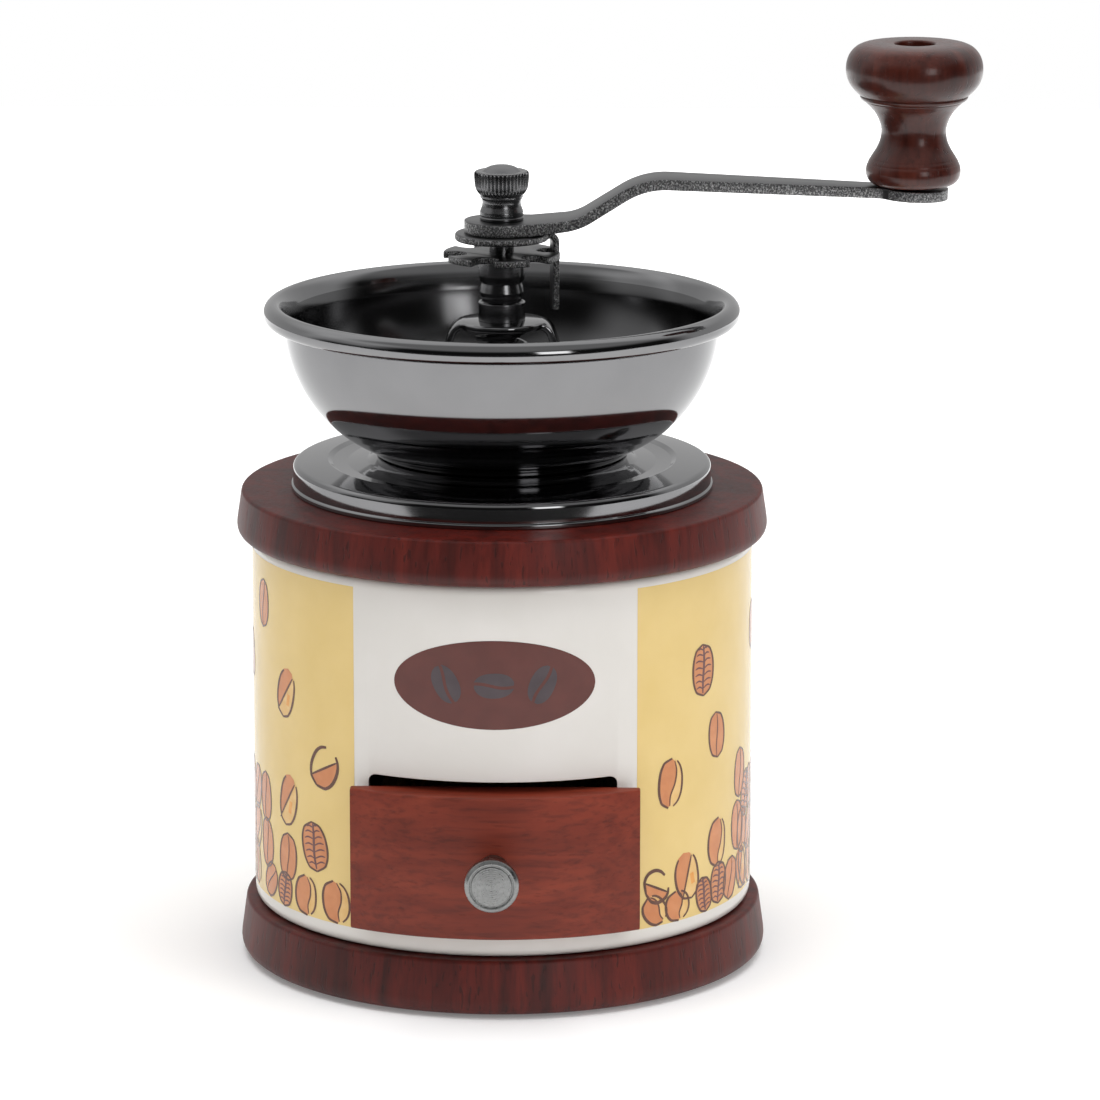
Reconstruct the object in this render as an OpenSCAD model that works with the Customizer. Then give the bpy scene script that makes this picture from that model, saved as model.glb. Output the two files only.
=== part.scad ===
// Hand-cranked burr coffee grinder: wooden discs clamp a porcelain body, a pressed bowl feeds a
// conical mill, and a wooden drawer catches the grounds.
// Units are millimetres. +Z is up, the drawer faces -Y, and the origin is on the crank axis at the
// face the grinder stands on.

/* [Wooden discs] */
// Widest radius of the base and top discs
disc_r = 55; // [48:0.5:65]
// Height of the top face of the base disc
base_top_z = 12; // [9:0.5:16]
// Thickness of the top disc
top_disc_t = 9.5; // [7:0.5:14]

/* [Porcelain body] */
// Outside radius of the porcelain
body_r = 51.2; // [44:0.2:60]
// Height of the porcelain
body_h = 76.2; // [60:0.2:100]
// Wall thickness of the porcelain
body_wall = 4.8; // [3:0.1:7]

/* [Drawer] */
// Width of the drawer's front plank
plank_w = 57.8; // [50:0.2:66]
// Height of the drawer's front plank
plank_h = 29; // [22:0.5:36]
// Travel of the drawer before it leaves its runners
drawer_travel = 60; // [40:1:66]
// Radius of the drawer's pull
pull_r = 5.35; // [4:0.05:8]

/* [Hopper] */
// Outermost radius of the bowl's rim
bowl_r = 48.5; // [40:0.5:52]
// Thickness of the pressed sheet
sheet_t = 1.2; // [0.8:0.1:2]
// Radius of the flange plate
flange_r = 42.7; // [38:0.1:46]

/* [Mill] */
// Radius of the plain part of the shaft
shaft_r = 3; // [2.5:0.1:4]
// Teeth round each burr
burr_teeth = 24; // [12:2:36]
// Notches round the star nut
star_notches = 6; // [5:1:8]

/* [Crank] */
// Distance from the shaft to the knob
crank_reach = 83.1; // [60:0.1:110]
// Thickness of the crank strip
crank_t = 2.3; // [1.8:0.1:4]
// Steepest slope of the crank's bend, in degrees
crank_slope = 32; // [20:1:45]
// Downward tilt of the outer part of the crank, in degrees
crank_droop = 2.4; // [0:0.1:5]

/* [Display] */
// Sub-part to draw

/* [Hidden] */

$fn = 96;
eps = 0.01;
big = 400;

// Heights of the stack
pad_t = 1.2;
wood_foot_z = 0.6;
body_top_z = base_top_z + body_h;
disc_top_z = body_top_z + top_disc_t;
spigot_h = 2;
spigot_gap = 0.5;
body_in_r = body_r - body_wall;
spigot_r = body_in_r - spigot_gap;

// Tie rods, their washers and nuts
rod_x = 36.5;
rod_r = 2;
rod_hole_r = 2.2;
washer_r = 4.5;
washer_t = 0.8;
nut_flats = 7;
nut_t = 3.2;
nut_sink_r = 5.4;
lower_seat_z = 6.5;
upper_seat_z = disc_top_z - 1.5;

// Flange plate: a hollow pressing whose inner face lies on the mill casting
flange_h = 5.1;
ridge_r = 35;
ridge_z = disc_top_z + 5.8;
neck_z = disc_top_z + 6.7;
neck_r = 25.5;
throat_r = 17;

// Bowl: an ellipse arc in section under a rolled rim
bowl_floor_z = neck_z;
bowl_seat_r = 25.4;
bowl_seat_angle = -70;
bowl_curve_r0 = 18;
bowl_curve_a = 26.4;
bowl_curve_z0 = neck_z + 29.1;
bowl_curve_b = 29.1;
rim_top_z = 136;
rim_round = 2.2;
rim_wide_z = rim_top_z - rim_round;
rim_low_z = rim_wide_z - 2;

// Bridge over the throat
bridge_t = 1.5;
bridge_top_z = 132;
bridge_half = 10.8;
bridge_boss_r = 9;
bridge_strap_w = 8.2;
bridge_foot_end = 24.6;
bridge_bend = 3.5;
bridge_screw_x = 21.5;
bridge_hole_r = 1.7;

// Shaft stack above the bowl
bush_r = 4.78;
bush_top_z = 135.8;
star_low_z = 135.9;
star_plate_z = 144.6;
star_top_z = 146;
star_r = 11.86;
notch_w = 4.8;
notch_root_r = 7.2;
tongue_angle = 13;
thread_r = 2.5;
index_z = 148.5;
index_t = 1.5;
index_r = 9.5;
tongue_in_r = 10.3;
tongue_t = 1.3;
tongue_w = 4.2;
tongue_low_z = 134;
crank_z = index_z + index_t;
eye_r = 7.6;
eye_t = 2.6;
nut_seat_z = crank_z + eye_t;
shaft_top_z = 161;
shaft_low_z = 64;
shaft_step_z = 134;
flats_w = 3.6;
tip_r = 2;

// Mill under the bowl
mill_top_z = neck_z - sheet_t;
mill_plate_t = 3;
mill_plate_r = 31.6;
mill_boss_r = 25;
mill_ring_r = 20.5;
mill_screw_y = 28.2;
mill_low_z = 82;
mill_hole_r = 21.5;
mouth_r = 16.5;
waist_r = 13.5;
waist_z = 93;
skirt_r = 16;
burr_gap = 0.75;
inner_low_z = 83.2;
inner_top_z = 99;
inner_top_r = 6;
collar_r = 4.4;
collar_top_z = 101;
bore_gap = 0.06;

// Drawer heights and depths
plank_low_z = 17.1;
plank_back_y = 45.4;
plank_face_r = body_r + 4.4;
opening_low_z = 16.2;
opening_high_z = 48.4;
opening_half = 24.8;
opening_shift = -0.5;
box_half = 23.6;
box_back_y = 31;
board_t = 3;
box_low_z = 17.2;
box_top_z = 41;
floor_t = 2.4;
pull_z = 31.7;
pull_len = 12.6;
runner_top_z = 17.1;

// Small fasteners and the spring's seat
wood_screw_r = 1.75;
small_screw_r = 1.5;
bracket_screw_x = 18.3;
bush_stem_r = 4;
spring_low_z = collar_top_z + washer_t;
bolt_head_h = 23;

// Points along a circle arc
function arc(cx, cz, r, a0, a1, n) =
  [for (i = [0 : n]) [cx + r * cos(a0 + (a1 - a0) * i / n), cz + r * sin(a0 + (a1 - a0) * i / n)]];

// Points along an ellipse arc
function oval(cx, cz, a, b, a0, a1, n) =
  [for (i = [0 : n]) [cx + a * cos(a0 + (a1 - a0) * i / n), cz + b * sin(a0 + (a1 - a0) * i / n)]];

module ring(r_out, r_in, z0, z1) {
  translate([0, 0, z0])
    linear_extrude(z1 - z0)
      difference() {
        circle(r_out);
        circle(r_in);
      }
}

module rod_pair(x) {
  for (s = [-1, 1])
    translate([s * x, 0, 0])
      children();
}

// Six-sided nut with a hole
module hex_nut(flats, hole_r, z0, t) {
  translate([0, 0, z0])
    difference() {
      cylinder(h = t, r = flats / (2 * cos(30)), $fn = 6);
      translate([0, 0, -eps])
        cylinder(h = t + 2 * eps, r = hole_r);
    }
}

module base_disc() {
  color([0.44, 0.21, 0.16])
    difference() {
      rotate_extrude()
        polygon(concat(
          [[0, wood_foot_z]],
          arc(disc_r - 3.4, wood_foot_z + 3, 3, -90, 0, 8),
          [[disc_r - 0.4, wood_foot_z + 3.2]],
          arc(disc_r - 2.4, base_top_z - 0.8, 0.8, 10, 90, 4),
          [[spigot_r, base_top_z], [spigot_r, base_top_z + spigot_h], [0, base_top_z + spigot_h]]));
      translate([0, 0, wood_foot_z - 1])
        cylinder(h = pad_t - wood_foot_z + 1, r = 47.2);
      rod_pair(rod_x)
        cylinder(h = big, r = rod_hole_r, center = true);
      rod_pair(rod_x)
        cylinder(h = lower_seat_z, r = nut_sink_r);
    }
}

module base_pad() {
  color([0.12, 0.12, 0.12])
    cylinder(h = pad_t, r = 47);
}

// Rounded rectangle in the plane of the porcelain's opening
module opening_shape(half_w, low, high, r) {
  translate([-half_w + r, low])
    square([2 * (half_w - r), high - low]);
  translate([-half_w, low + r])
    square([2 * half_w, high - low - 2 * r]);
  for (x = [-half_w + r, half_w - r])
    for (z = [low + r, high - r])
      translate([x, z])
        circle(r);
}

module porcelain_body() {
  color([0.92, 0.90, 0.86])
    difference() {
      rotate_extrude()
        polygon(concat(
          arc(body_r - 3.5, base_top_z + 3.5, 3.5, -90, 0, 8),
          arc(body_r - 1.8, body_top_z - 1.8, 1.8, 0, 90, 6),
          [[body_in_r, body_top_z], [body_in_r, base_top_z]]));
      translate([opening_shift, 0, 0])
        rotate([90, 0, 0])
          linear_extrude(big)
            opening_shape(opening_half, opening_low_z, opening_high_z, 1.5);
    }
}

module top_disc() {
  color([0.44, 0.21, 0.16])
    difference() {
      rotate_extrude()
        polygon(concat(
          [[mill_hole_r, body_top_z - spigot_h], [spigot_r, body_top_z - spigot_h], [spigot_r, body_top_z]],
          arc(disc_r - 2.5, body_top_z + 2.5, 2.5, -90, 0, 8),
          arc(disc_r - 2.2, disc_top_z - 0.8, 0.8, 10, 90, 4),
          [[mill_hole_r, disc_top_z]]));
      rod_pair(rod_x)
        cylinder(h = big, r = rod_hole_r, center = true);
      rod_pair(rod_x)
        translate([0, 0, upper_seat_z])
          cylinder(h = big, r = nut_sink_r);
      for (s = [-1, 1])
        translate([0, s * mill_screw_y, disc_top_z - 7])
          cylinder(h = big, r = wood_screw_r + bore_gap);
    }
}

module tie_rods() {
  color([0.62, 0.62, 0.60])
    rod_pair(rod_x)
      translate([0, 0, 1.8])
        cylinder(h = disc_top_z + 3.2 - 1.8, r = rod_r);
}

module tie_washers() {
  color([0.66, 0.66, 0.64])
    rod_pair(rod_x)
      for (z = [lower_seat_z - washer_t, upper_seat_z])
        ring(washer_r, rod_hole_r, z, z + washer_t);
}

module tie_nuts() {
  color([0.66, 0.66, 0.64])
    rod_pair(rod_x)
      for (z = [lower_seat_z - washer_t - nut_t, upper_seat_z + washer_t])
        hex_nut(nut_flats, rod_r + bore_gap, z, nut_t);
}

// Angle-section runner: a floor the drawer slides on and an outer guide
module runner(side) {
  color([0.72, 0.56, 0.38])
    translate([0, 33, 0])
      rotate([90, 0, 0])
        linear_extrude(70.5)
          polygon([
            [side * 19, base_top_z + spigot_h],
            [side * 26.5, base_top_z + spigot_h],
            [side * 26.5, 24],
            [side * 24.1, 24],
            [side * 24.1, runner_top_z],
            [side * 19, runner_top_z]]);
}

module runner_left() {
  runner(-1);
}

module runner_right() {
  runner(1);
}

module flange_plate() {
  color([0.20, 0.20, 0.21])
    difference() {
      rotate_extrude()
        polygon(concat(
          [[flange_r - sheet_t, disc_top_z], [flange_r + 0.4, disc_top_z], [flange_r + 0.4, disc_top_z + 0.8]],
          [[flange_r, disc_top_z + 1.2]],
          arc(flange_r - 1, disc_top_z + flange_h - 1, 1, 0, 90, 5),
          [[ridge_r + 0.3, ridge_z], [ridge_r - 0.5, ridge_z - 0.5], [32, neck_z - 1.5]],
          [[29.5, neck_z - 1.35], [27.5, neck_z - 0.9], [26.2, neck_z - 0.3], [neck_r, neck_z]],
          [[throat_r, neck_z], [throat_r, mill_top_z]],
          [[neck_r - 0.3, mill_top_z], [26.2, mill_top_z - 0.4], [27.5, mill_top_z - 1], [29.5, mill_top_z - 1.4]],
          [[ridge_r - 0.2, mill_top_z - 1.45], [ridge_r + 0.4, mill_top_z - 1]],
          [[flange_r - sheet_t - 0.2, mill_top_z - 1.7], [flange_r - sheet_t, mill_top_z - 2]]));
      rod_pair(bridge_screw_x)
        cylinder(h = big, r = bridge_hole_r);
    }
}

module hopper_bowl() {
  in_a = bowl_curve_a - sheet_t;
  in_b = bowl_curve_b - sheet_t;
  out_end = -asin((bowl_curve_z0 - rim_low_z) / bowl_curve_b);
  in_end = -asin((bowl_curve_z0 - rim_low_z) / in_b);
  color([0.16, 0.16, 0.17])
    difference() {
      rotate_extrude()
        polygon(concat(
          [[throat_r, bowl_floor_z], [bowl_seat_r, bowl_floor_z]],
          oval(bowl_curve_r0, bowl_curve_z0, bowl_curve_a, bowl_curve_b, bowl_seat_angle, out_end, 14),
          arc(bowl_r - rim_round, rim_wide_z, rim_round, -130, 90, 12),
          [[bowl_r - 3.2, rim_top_z - 0.3], [bowl_r - 3.9, rim_top_z - 1.1], [bowl_r - 4.8, rim_top_z - 3]],
          oval(bowl_curve_r0, bowl_curve_z0, in_a, in_b, in_end, bowl_seat_angle, 14),
          [[bowl_seat_r, bowl_floor_z + sheet_t], [throat_r, bowl_floor_z + sheet_t]]));
      rod_pair(bridge_screw_x)
        cylinder(h = big, r = bridge_hole_r);
    }
}

// Arched strap: flat top, rounded shoulders, splayed legs and flat feet
module bridge() {
  foot_z = bowl_floor_z + sheet_t;
  lean = 18.4;
  cx = bridge_half - 3.3;
  cz = bridge_top_z - bridge_bend;
  inner_bend = bridge_bend - bridge_t;
  out_x = cx + bridge_bend * cos(lean);
  out_z = cz + bridge_bend * sin(lean);
  in_x = cx + inner_bend * cos(lean);
  in_z = cz + inner_bend * sin(lean);
  right = concat(
    arc(cx, cz, bridge_bend, 90, lean, 6),
    [[out_x + (out_z - foot_z - bridge_t) * tan(lean), foot_z + bridge_t]],
    [[bridge_foot_end, foot_z + bridge_t], [bridge_foot_end, foot_z]],
    [[in_x + (in_z - foot_z) * tan(lean), foot_z]],
    arc(cx, cz, inner_bend, lean, 90, 5));
  left = [for (i = [len(right) - 1 : -1 : 0]) [-right[i][0], right[i][1]]];
  color([0.13, 0.13, 0.14])
    difference() {
      intersection() {
        rotate([90, 0, 0])
          linear_extrude(2 * bridge_boss_r, center = true)
            polygon(concat(right, left));
        bridge_plan();
      }
      cylinder(h = big, r = bush_stem_r + bore_gap);
      rod_pair(bridge_screw_x)
        cylinder(h = big, r = bridge_hole_r);
    }
}

// Plan of the strap: a round boss between two straight arms
module bridge_plan() {
  linear_extrude(2 * bridge_top_z)
    union() {
      circle(bridge_boss_r);
      square([3 * bridge_foot_end, bridge_strap_w], center = true);
    }
}

// Pan-head screw pointing down, its head seated at a height
module pan_screw(shank_r, head_r, head_h, seat_z, length) {
  translate([0, 0, seat_z])
    difference() {
      union() {
        translate([0, 0, -length])
          cylinder(h = length + eps, r = shank_r);
        rotate_extrude()
          polygon(concat(
            [[0, 0], [head_r, 0], [head_r, head_h * 0.45]],
            oval(0, head_h * 0.45, head_r, head_h * 0.55, 15, 90, 5)));
      }
      for (a = [0, 90])
        rotate([0, 0, a])
          translate([-head_r * 0.55, -0.35, head_h * 0.5])
            cube([head_r * 1.1, 0.7, head_h]);
    }
}

module bridge_screws() {
  color([0.15, 0.15, 0.16])
    rod_pair(bridge_screw_x)
      pan_screw(small_screw_r, 3, 2.1, bowl_floor_z + sheet_t + bridge_t, 9);
}

module bridge_bush() {
  color([0.14, 0.14, 0.15])
    rotate_extrude()
      polygon([
        [shaft_r + bore_gap, bridge_top_z - 2.6],
        [bush_stem_r, bridge_top_z - 2.6],
        [bush_stem_r, bridge_top_z],
        [bush_r, bridge_top_z],
        [bush_r, bush_top_z - 0.3],
        [bush_r - 0.3, bush_top_z],
        [shaft_r + bore_gap, bush_top_z]]);
}

// Ring of straight V grooves leaning across a conical face
module tooth_cuts(count, r, z, tilt, skew, size, length) {
  for (i = [0 : count - 1])
    rotate([0, 0, 360 * i / count])
      translate([r, 0, z])
        rotate([0, tilt, 0])
          rotate([skew, 0, 0])
            rotate([0, 0, 45])
              cube([size, size, length], center = true);
}

// Cast ring with a grinding face inside, a boss on top and a plate that lies on the wooden disc
module outer_burr() {
  skirt_tilt = -atan((skirt_r - waist_r) / (waist_z - mill_low_z));
  mouth_tilt = atan((mouth_r - waist_r) / (mill_top_z - waist_z));
  color([0.30, 0.30, 0.31])
    difference() {
      rotate_extrude()
        polygon([
          [skirt_r, mill_low_z],
          [mill_ring_r, mill_low_z],
          [mill_ring_r, disc_top_z],
          [mill_plate_r, disc_top_z],
          [mill_plate_r, disc_top_z + mill_plate_t],
          [mill_boss_r, disc_top_z + mill_plate_t],
          [mill_boss_r, mill_top_z],
          [mouth_r, mill_top_z],
          [waist_r, waist_z]]);
      tooth_cuts(burr_teeth, (skirt_r + waist_r) / 2, (mill_low_z + waist_z) / 2, skirt_tilt, 12, 0.9, 16);
      tooth_cuts(burr_teeth / 3, (mouth_r + waist_r) / 2, (mill_top_z + waist_z) / 2, mouth_tilt, 0, 2.2, 18);
      rod_pair(bridge_screw_x)
        translate([0, 0, disc_top_z - 5])
          cylinder(h = big, r = small_screw_r + bore_gap);
      rod_pair(bracket_screw_x)
        translate([0, 0, mill_low_z - 1])
          cylinder(h = 8.5, r = small_screw_r + bore_gap);
      for (s = [-1, 1])
        translate([0, s * mill_screw_y, disc_top_z])
          rotate_extrude()
            polygon([[0, -1], [2, -1], [2, 1.6], [3.4, mill_plate_t], [3.4, 4], [0, 4]]);
    }
}

module mill_screws() {
  color([0.62, 0.60, 0.50])
    for (s = [-1, 1])
      translate([0, s * mill_screw_y, disc_top_z])
        difference() {
          rotate_extrude()
            polygon([[0, -6.6], [wood_screw_r, -5], [wood_screw_r, 1.55], [3.2, mill_plate_t], [0, mill_plate_t]]);
          for (a = [0, 90])
            rotate([0, 0, a])
              translate([-1.8, -0.3, mill_plate_t - 1.2])
                cube([3.6, 0.6, 2]);
        }
}

// Strap under the mill with a drawn collar that guides the shaft
module bearing_bracket() {
  leg_in = 14;
  bend = 3;
  bar_z = 68.4;
  t = 1.6;
  right = concat(
    [[21, mill_low_z], [21, mill_low_z - t], [leg_in + t, mill_low_z - t]],
    arc(leg_in + t - bend, bar_z + bend, bend, 0, -90, 5));
  inner = concat(
    arc(leg_in + t - bend, bar_z + bend, bend - t, -90, 0, 5),
    [[leg_in, mill_low_z]]);
  left = [for (i = [len(right) - 1 : -1 : 0]) [-right[i][0], right[i][1]]];
  inner_left = [for (i = [len(inner) - 1 : -1 : 0]) [-inner[i][0], inner[i][1]]];
  color([0.55, 0.55, 0.53])
    difference() {
      union() {
        rotate([90, 0, 0])
          linear_extrude(12, center = true)
            polygon(concat(right, left, inner_left, inner));
        translate([0, 0, 66])
          cylinder(h = bar_z - 66 + eps, r = 5);
      }
      cylinder(h = bar_z + bend, r = shaft_r + bore_gap);
      rod_pair(bracket_screw_x)
        cylinder(h = big, r = small_screw_r + 0.2);
    }
}

module bracket_screws() {
  color([0.62, 0.62, 0.60])
    rod_pair(bracket_screw_x)
      translate([0, 0, mill_low_z - 1.6])
        rotate([180, 0, 0])
          pan_screw(small_screw_r, 2.5, 2, 0, 8);
}

// Hub threaded on the shaft, with a notched plate that sets the grind
module star_nut() {
  color([0.20, 0.20, 0.21])
    difference() {
      rotate_extrude()
        polygon([
          [thread_r + bore_gap, star_low_z],
          [4.06, star_low_z],
          [4.06, star_low_z + 0.7],
          [4.45, star_low_z + 1.3],
          [4.48, star_low_z + 2.1],
          [4.3, star_low_z + 3.1],
          [4.1, star_low_z + 3.9],
          [4.5, star_low_z + 4.3],
          [4.68, star_low_z + 5.6],
          [4.68, star_plate_z],
          [star_r, star_plate_z],
          [star_r, star_top_z - 0.4],
          [star_r - 0.4, star_top_z],
          [thread_r + bore_gap, star_top_z]]);
      for (i = [0 : star_notches - 1])
        rotate([0, 0, tongue_angle + 360 * i / star_notches])
          translate([notch_root_r + notch_w / 2, 0, star_plate_z - 1]) {
            cylinder(h = 4, r = notch_w / 2);
            translate([0, -notch_w / 2, 0])
              cube([star_r, notch_w, 4]);
          }
    }
}

// Round-wire compression spring round the shaft, under the bridge
module spring() {
  turns = 8;
  per_turn = 16;
  sides = 6;
  coil_r = 5.1;
  wire_r = 0.5;
  low = spring_low_z + wire_r;
  high = bridge_top_z - bridge_t - wire_r - 0.1;
  steps = turns * per_turn;
  ring_pts = [
    for (i = [0 : steps])
      for (k = [0 : sides - 1])
        let (a = 360 * i / per_turn, b = 360 * k / sides, r = coil_r + wire_r * cos(b))
          [r * cos(a), r * sin(a), low + (high - low) * i / steps + wire_r * sin(b)]];
  skin = [
    for (i = [0 : steps - 1])
      for (k = [0 : sides - 1])
        let (a = i * sides + k, b = i * sides + (k + 1) % sides)
          [a, b, b + sides, a + sides]];
  ends = [
    [for (k = [sides - 1 : -1 : 0]) k],
    [for (k = [0 : sides - 1]) steps * sides + k]];
  color([0.60, 0.60, 0.58])
    polyhedron(points = ring_pts, faces = concat(skin, ends));
}

module spring_washer() {
  color([0.62, 0.62, 0.60])
    ring(6.2, shaft_r + bore_gap, collar_top_z, spring_low_z);
}

// Stepped shaft: plain below, threaded through the star nut, flats for the plate and crank, threaded tip
module shaft() {
  color([0.55, 0.55, 0.54])
    union() {
      rotate_extrude()
        polygon([
          [0, shaft_low_z],
          [shaft_r - 0.5, shaft_low_z],
          [shaft_r, shaft_low_z + 0.5],
          [shaft_r, inner_top_z],
          [collar_r, inner_top_z],
          [collar_r, collar_top_z],
          [shaft_r, collar_top_z],
          [shaft_r, shaft_step_z - 0.5],
          [thread_r, shaft_step_z],
          [thread_r, index_z],
          [0, index_z]]);
      translate([0, 0, index_z])
        linear_extrude(nut_seat_z - index_z)
          flatted(thread_r - 0.05, flats_w);
      translate([0, 0, nut_seat_z])
        cylinder(h = shaft_top_z - nut_seat_z, r = tip_r);
    }
}

// Circle with two parallel flats
module flatted(r, w) {
  intersection() {
    circle(r);
    square([2 * r + 1, w], center = true);
  }
}

// Cone with coarse flutes above and fine teeth below, narrower than the ring by the grinding gap
module inner_burr() {
  slope = (skirt_r - waist_r) / (waist_z - mill_low_z);
  wide = waist_r + (waist_z - inner_low_z) * slope - burr_gap;
  narrow = waist_r - burr_gap;
  cone_tilt = -atan((narrow - inner_top_r) / (inner_top_z - waist_z));
  color([0.34, 0.34, 0.35])
    difference() {
      rotate_extrude()
        polygon([
          [shaft_r + bore_gap, inner_low_z],
          [wide, inner_low_z],
          [narrow, waist_z],
          [inner_top_r, inner_top_z],
          [shaft_r + bore_gap, inner_top_z]]);
      tooth_cuts(burr_teeth, (wide + narrow) / 2, (inner_low_z + waist_z) / 2, -atan(slope), -14, 0.9, 14);
      tooth_cuts(burr_teeth / 4, (inner_top_r + narrow) / 2, (inner_top_z + waist_z) / 2, cone_tilt, -18, 2.6, 16);
    }
}

module burr_washer() {
  color([0.62, 0.62, 0.60])
    ring(6, shaft_r + bore_gap, inner_low_z - washer_t, inner_low_z);
}

module burr_nut() {
  color([0.62, 0.62, 0.60])
    hex_nut(10, shaft_r + bore_gap, inner_low_z - washer_t - 3, 3);
}

// Keyed disc with a bent tongue that drops into one notch of the star nut
module index_plate() {
  out_r = tongue_in_r + tongue_t;
  bend = 1.8;
  color([0.22, 0.22, 0.23])
    difference() {
      union() {
        translate([0, 0, index_z])
          cylinder(h = index_t, r = index_r);
        rotate([0, 0, tongue_angle])
          rotate([90, 0, 0])
            linear_extrude(tongue_w, center = true)
              polygon(concat(
                [[index_r - 2, index_z], [out_r - bend + 0.2, index_z], [tongue_in_r, index_z - 0.6]],
                [[tongue_in_r, tongue_low_z + 0.4], [tongue_in_r + 0.4, tongue_low_z]],
                [[out_r - 0.4, tongue_low_z], [out_r, tongue_low_z + 0.4]],
                arc(out_r - bend, crank_z - bend, bend, 0, 90, 6),
                [[index_r - 2, crank_z]]));
      }
      translate([0, 0, index_z - 1])
        linear_extrude(4)
          flatted(thread_r + bore_gap, flats_w + 2 * bore_gap);
    }
}

// Height of the crank strip's middle line under the knob, and the line's bend points
crank_lead = 5.5;
lead_x = 4;
bend_low_r = 12;
bend_high_r = 16;
flat_z = crank_z + crank_t / 2;
low_x = 12.54;
low_z = flat_z + (low_x - lead_x) * tan(crank_lead) + 0.15;
low_end_x = low_x + bend_low_r * (sin(crank_slope) - sin(crank_lead));
low_end_z = low_z + bend_low_r * (cos(crank_lead) - cos(crank_slope));
rise = 4.325;
high_x = low_end_x + rise / tan(crank_slope);
high_z = low_end_z + rise;
high_end_x = high_x + bend_high_r * (sin(crank_slope) + sin(crank_droop));
high_end_z = high_z + bend_high_r * (cos(crank_droop) - cos(crank_slope));
knob_z = high_end_z - (crank_reach - high_end_x) * tan(crank_droop);
crank_end_r = 7.1;
knob_foot_r = 7;

// Flat strip bent upwards beyond its eye, tapering to a rounded end under the knob
module crank_arm() {
  h = crank_t / 2;
  tip_x = crank_reach + 12;
  tip_z = knob_z - 12 * tan(crank_droop);
  low_cx = low_x - bend_low_r * sin(crank_lead);
  low_cz = low_z + bend_low_r * cos(crank_lead);
  high_cx = high_x + bend_high_r * sin(crank_slope);
  high_cz = high_z - bend_high_r * cos(crank_slope);
  top_line = concat(
    [[-10, crank_z + eye_t], [eye_r, crank_z + eye_t]],
    arc(low_cx, low_cz, bend_low_r - h, crank_lead - 90, crank_slope - 90, 6),
    arc(high_cx, high_cz, bend_high_r + h, crank_slope + 90, 90 - crank_droop, 8),
    [[tip_x, tip_z + h]]);
  low_line = concat(
    [[tip_x, tip_z - h]],
    arc(high_cx, high_cz, bend_high_r - h, 90 - crank_droop, crank_slope + 90, 8),
    arc(low_cx, low_cz, bend_low_r + h, crank_slope - 90, crank_lead - 90, 6),
    [[lead_x, crank_z], [-10, crank_z]]);
  color([0.40, 0.40, 0.41])
    difference() {
      intersection() {
        rotate([90, 0, 0])
          linear_extrude(20, center = true)
            polygon(concat(top_line, low_line));
        linear_extrude(big)
          union() {
            circle(eye_r);
            polygon([
              [4, 6.6],
              [4, -6.6],
              [crank_reach, -3.3],
              [crank_reach, 3.3]]);
            translate([crank_reach, 0])
              circle(crank_end_r);
          }
      }
      translate([0, 0, crank_z - 1])
        linear_extrude(eye_t + 2)
          flatted(thread_r + bore_gap, flats_w + 2 * bore_gap);
      at_knob()
        cylinder(h = 6, r = tip_r + bore_gap, center = true);
    }
}

// Frame of the knob: origin in the middle of the strip, +Z up along the bolt
module at_knob() {
  translate([crank_reach, 0, knob_z])
    children();
}

module knob_bolt() {
  // The strip slopes under the upright bolt, so the shoulders stand clear of its faces
  h = crank_t / 2 + 3 * tan(crank_droop);
  color([0.50, 0.50, 0.49])
    at_knob()
      difference() {
        rotate_extrude()
          polygon([
            [0, -h - 1],
            [1.4, -h - 0.8],
            [2.6, -h],
            [tip_r, -h],
            [tip_r, h],
            [2.45, h],
            [2.45, bolt_head_h],
            [3.6, bolt_head_h],
            [3.6, bolt_head_h + 2],
            [3, bolt_head_h + 2.6],
            [0, bolt_head_h + 2.6]]);
        translate([-3, -0.4, bolt_head_h + 1.4])
          cube([6, 0.8, 3]);
      }
}

module crank_knob() {
  foot = crank_t / 2 + 0.1 + knob_foot_r * tan(crank_droop);
  color([0.28, 0.14, 0.11])
    at_knob()
      translate([0, 0, foot])
        rotate_extrude()
          polygon(concat(
            [[2.53, 0], [knob_foot_r, 0], [8.3, 0.6], [9.2, 1.7], [9.56, 3.1], [9.3, 4.4]],
            [[8.6, 5.5], [7.7, 7.2], [7, 9], [6.7, 11], [7.1, 13.4], [8.6, 15.8], [10.8, 17.8], [11.2, 18.2]],
            [[12.5, 19.4]],
            oval(9.8, 23.9, 4, 4.8, -50, 90, 12),
            [[4.5, 28.7], [4.1, 28.3], [4.1, bolt_head_h - foot - 0.1], [2.53, bolt_head_h - foot - 0.1]]));
}

// Waisted cap nut with a knurled head
module thumb_nut() {
  base = nut_seat_z + 0.05;
  flutes = 36;
  color([0.24, 0.24, 0.25])
    difference() {
      rotate_extrude()
        polygon(concat(
          [[0, base + 9], [tip_r + bore_gap, base + 9], [tip_r + bore_gap, base]],
          [[4.42, base], [4.42, base + 1.6], [4.2, base + 2.25], [3.95, base + 3.3], [4.05, base + 4.3]],
          [[4.5, base + 5.3], [5.24, base + 6.3], [5.5, base + 7.5], [5.52, base + 9.5]],
          [[5.2, base + 9.9], [4.2, base + 9.95]],
          oval(0, base + 9, 4.1, 2.2, 27, 90, 5)));
      for (i = [0 : flutes - 1])
        rotate([0, 0, 360 * i / flutes])
          translate([5.25, -0.16, base + 5.6])
            cube([1, 0.32, 4.4]);
    }
}

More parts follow.
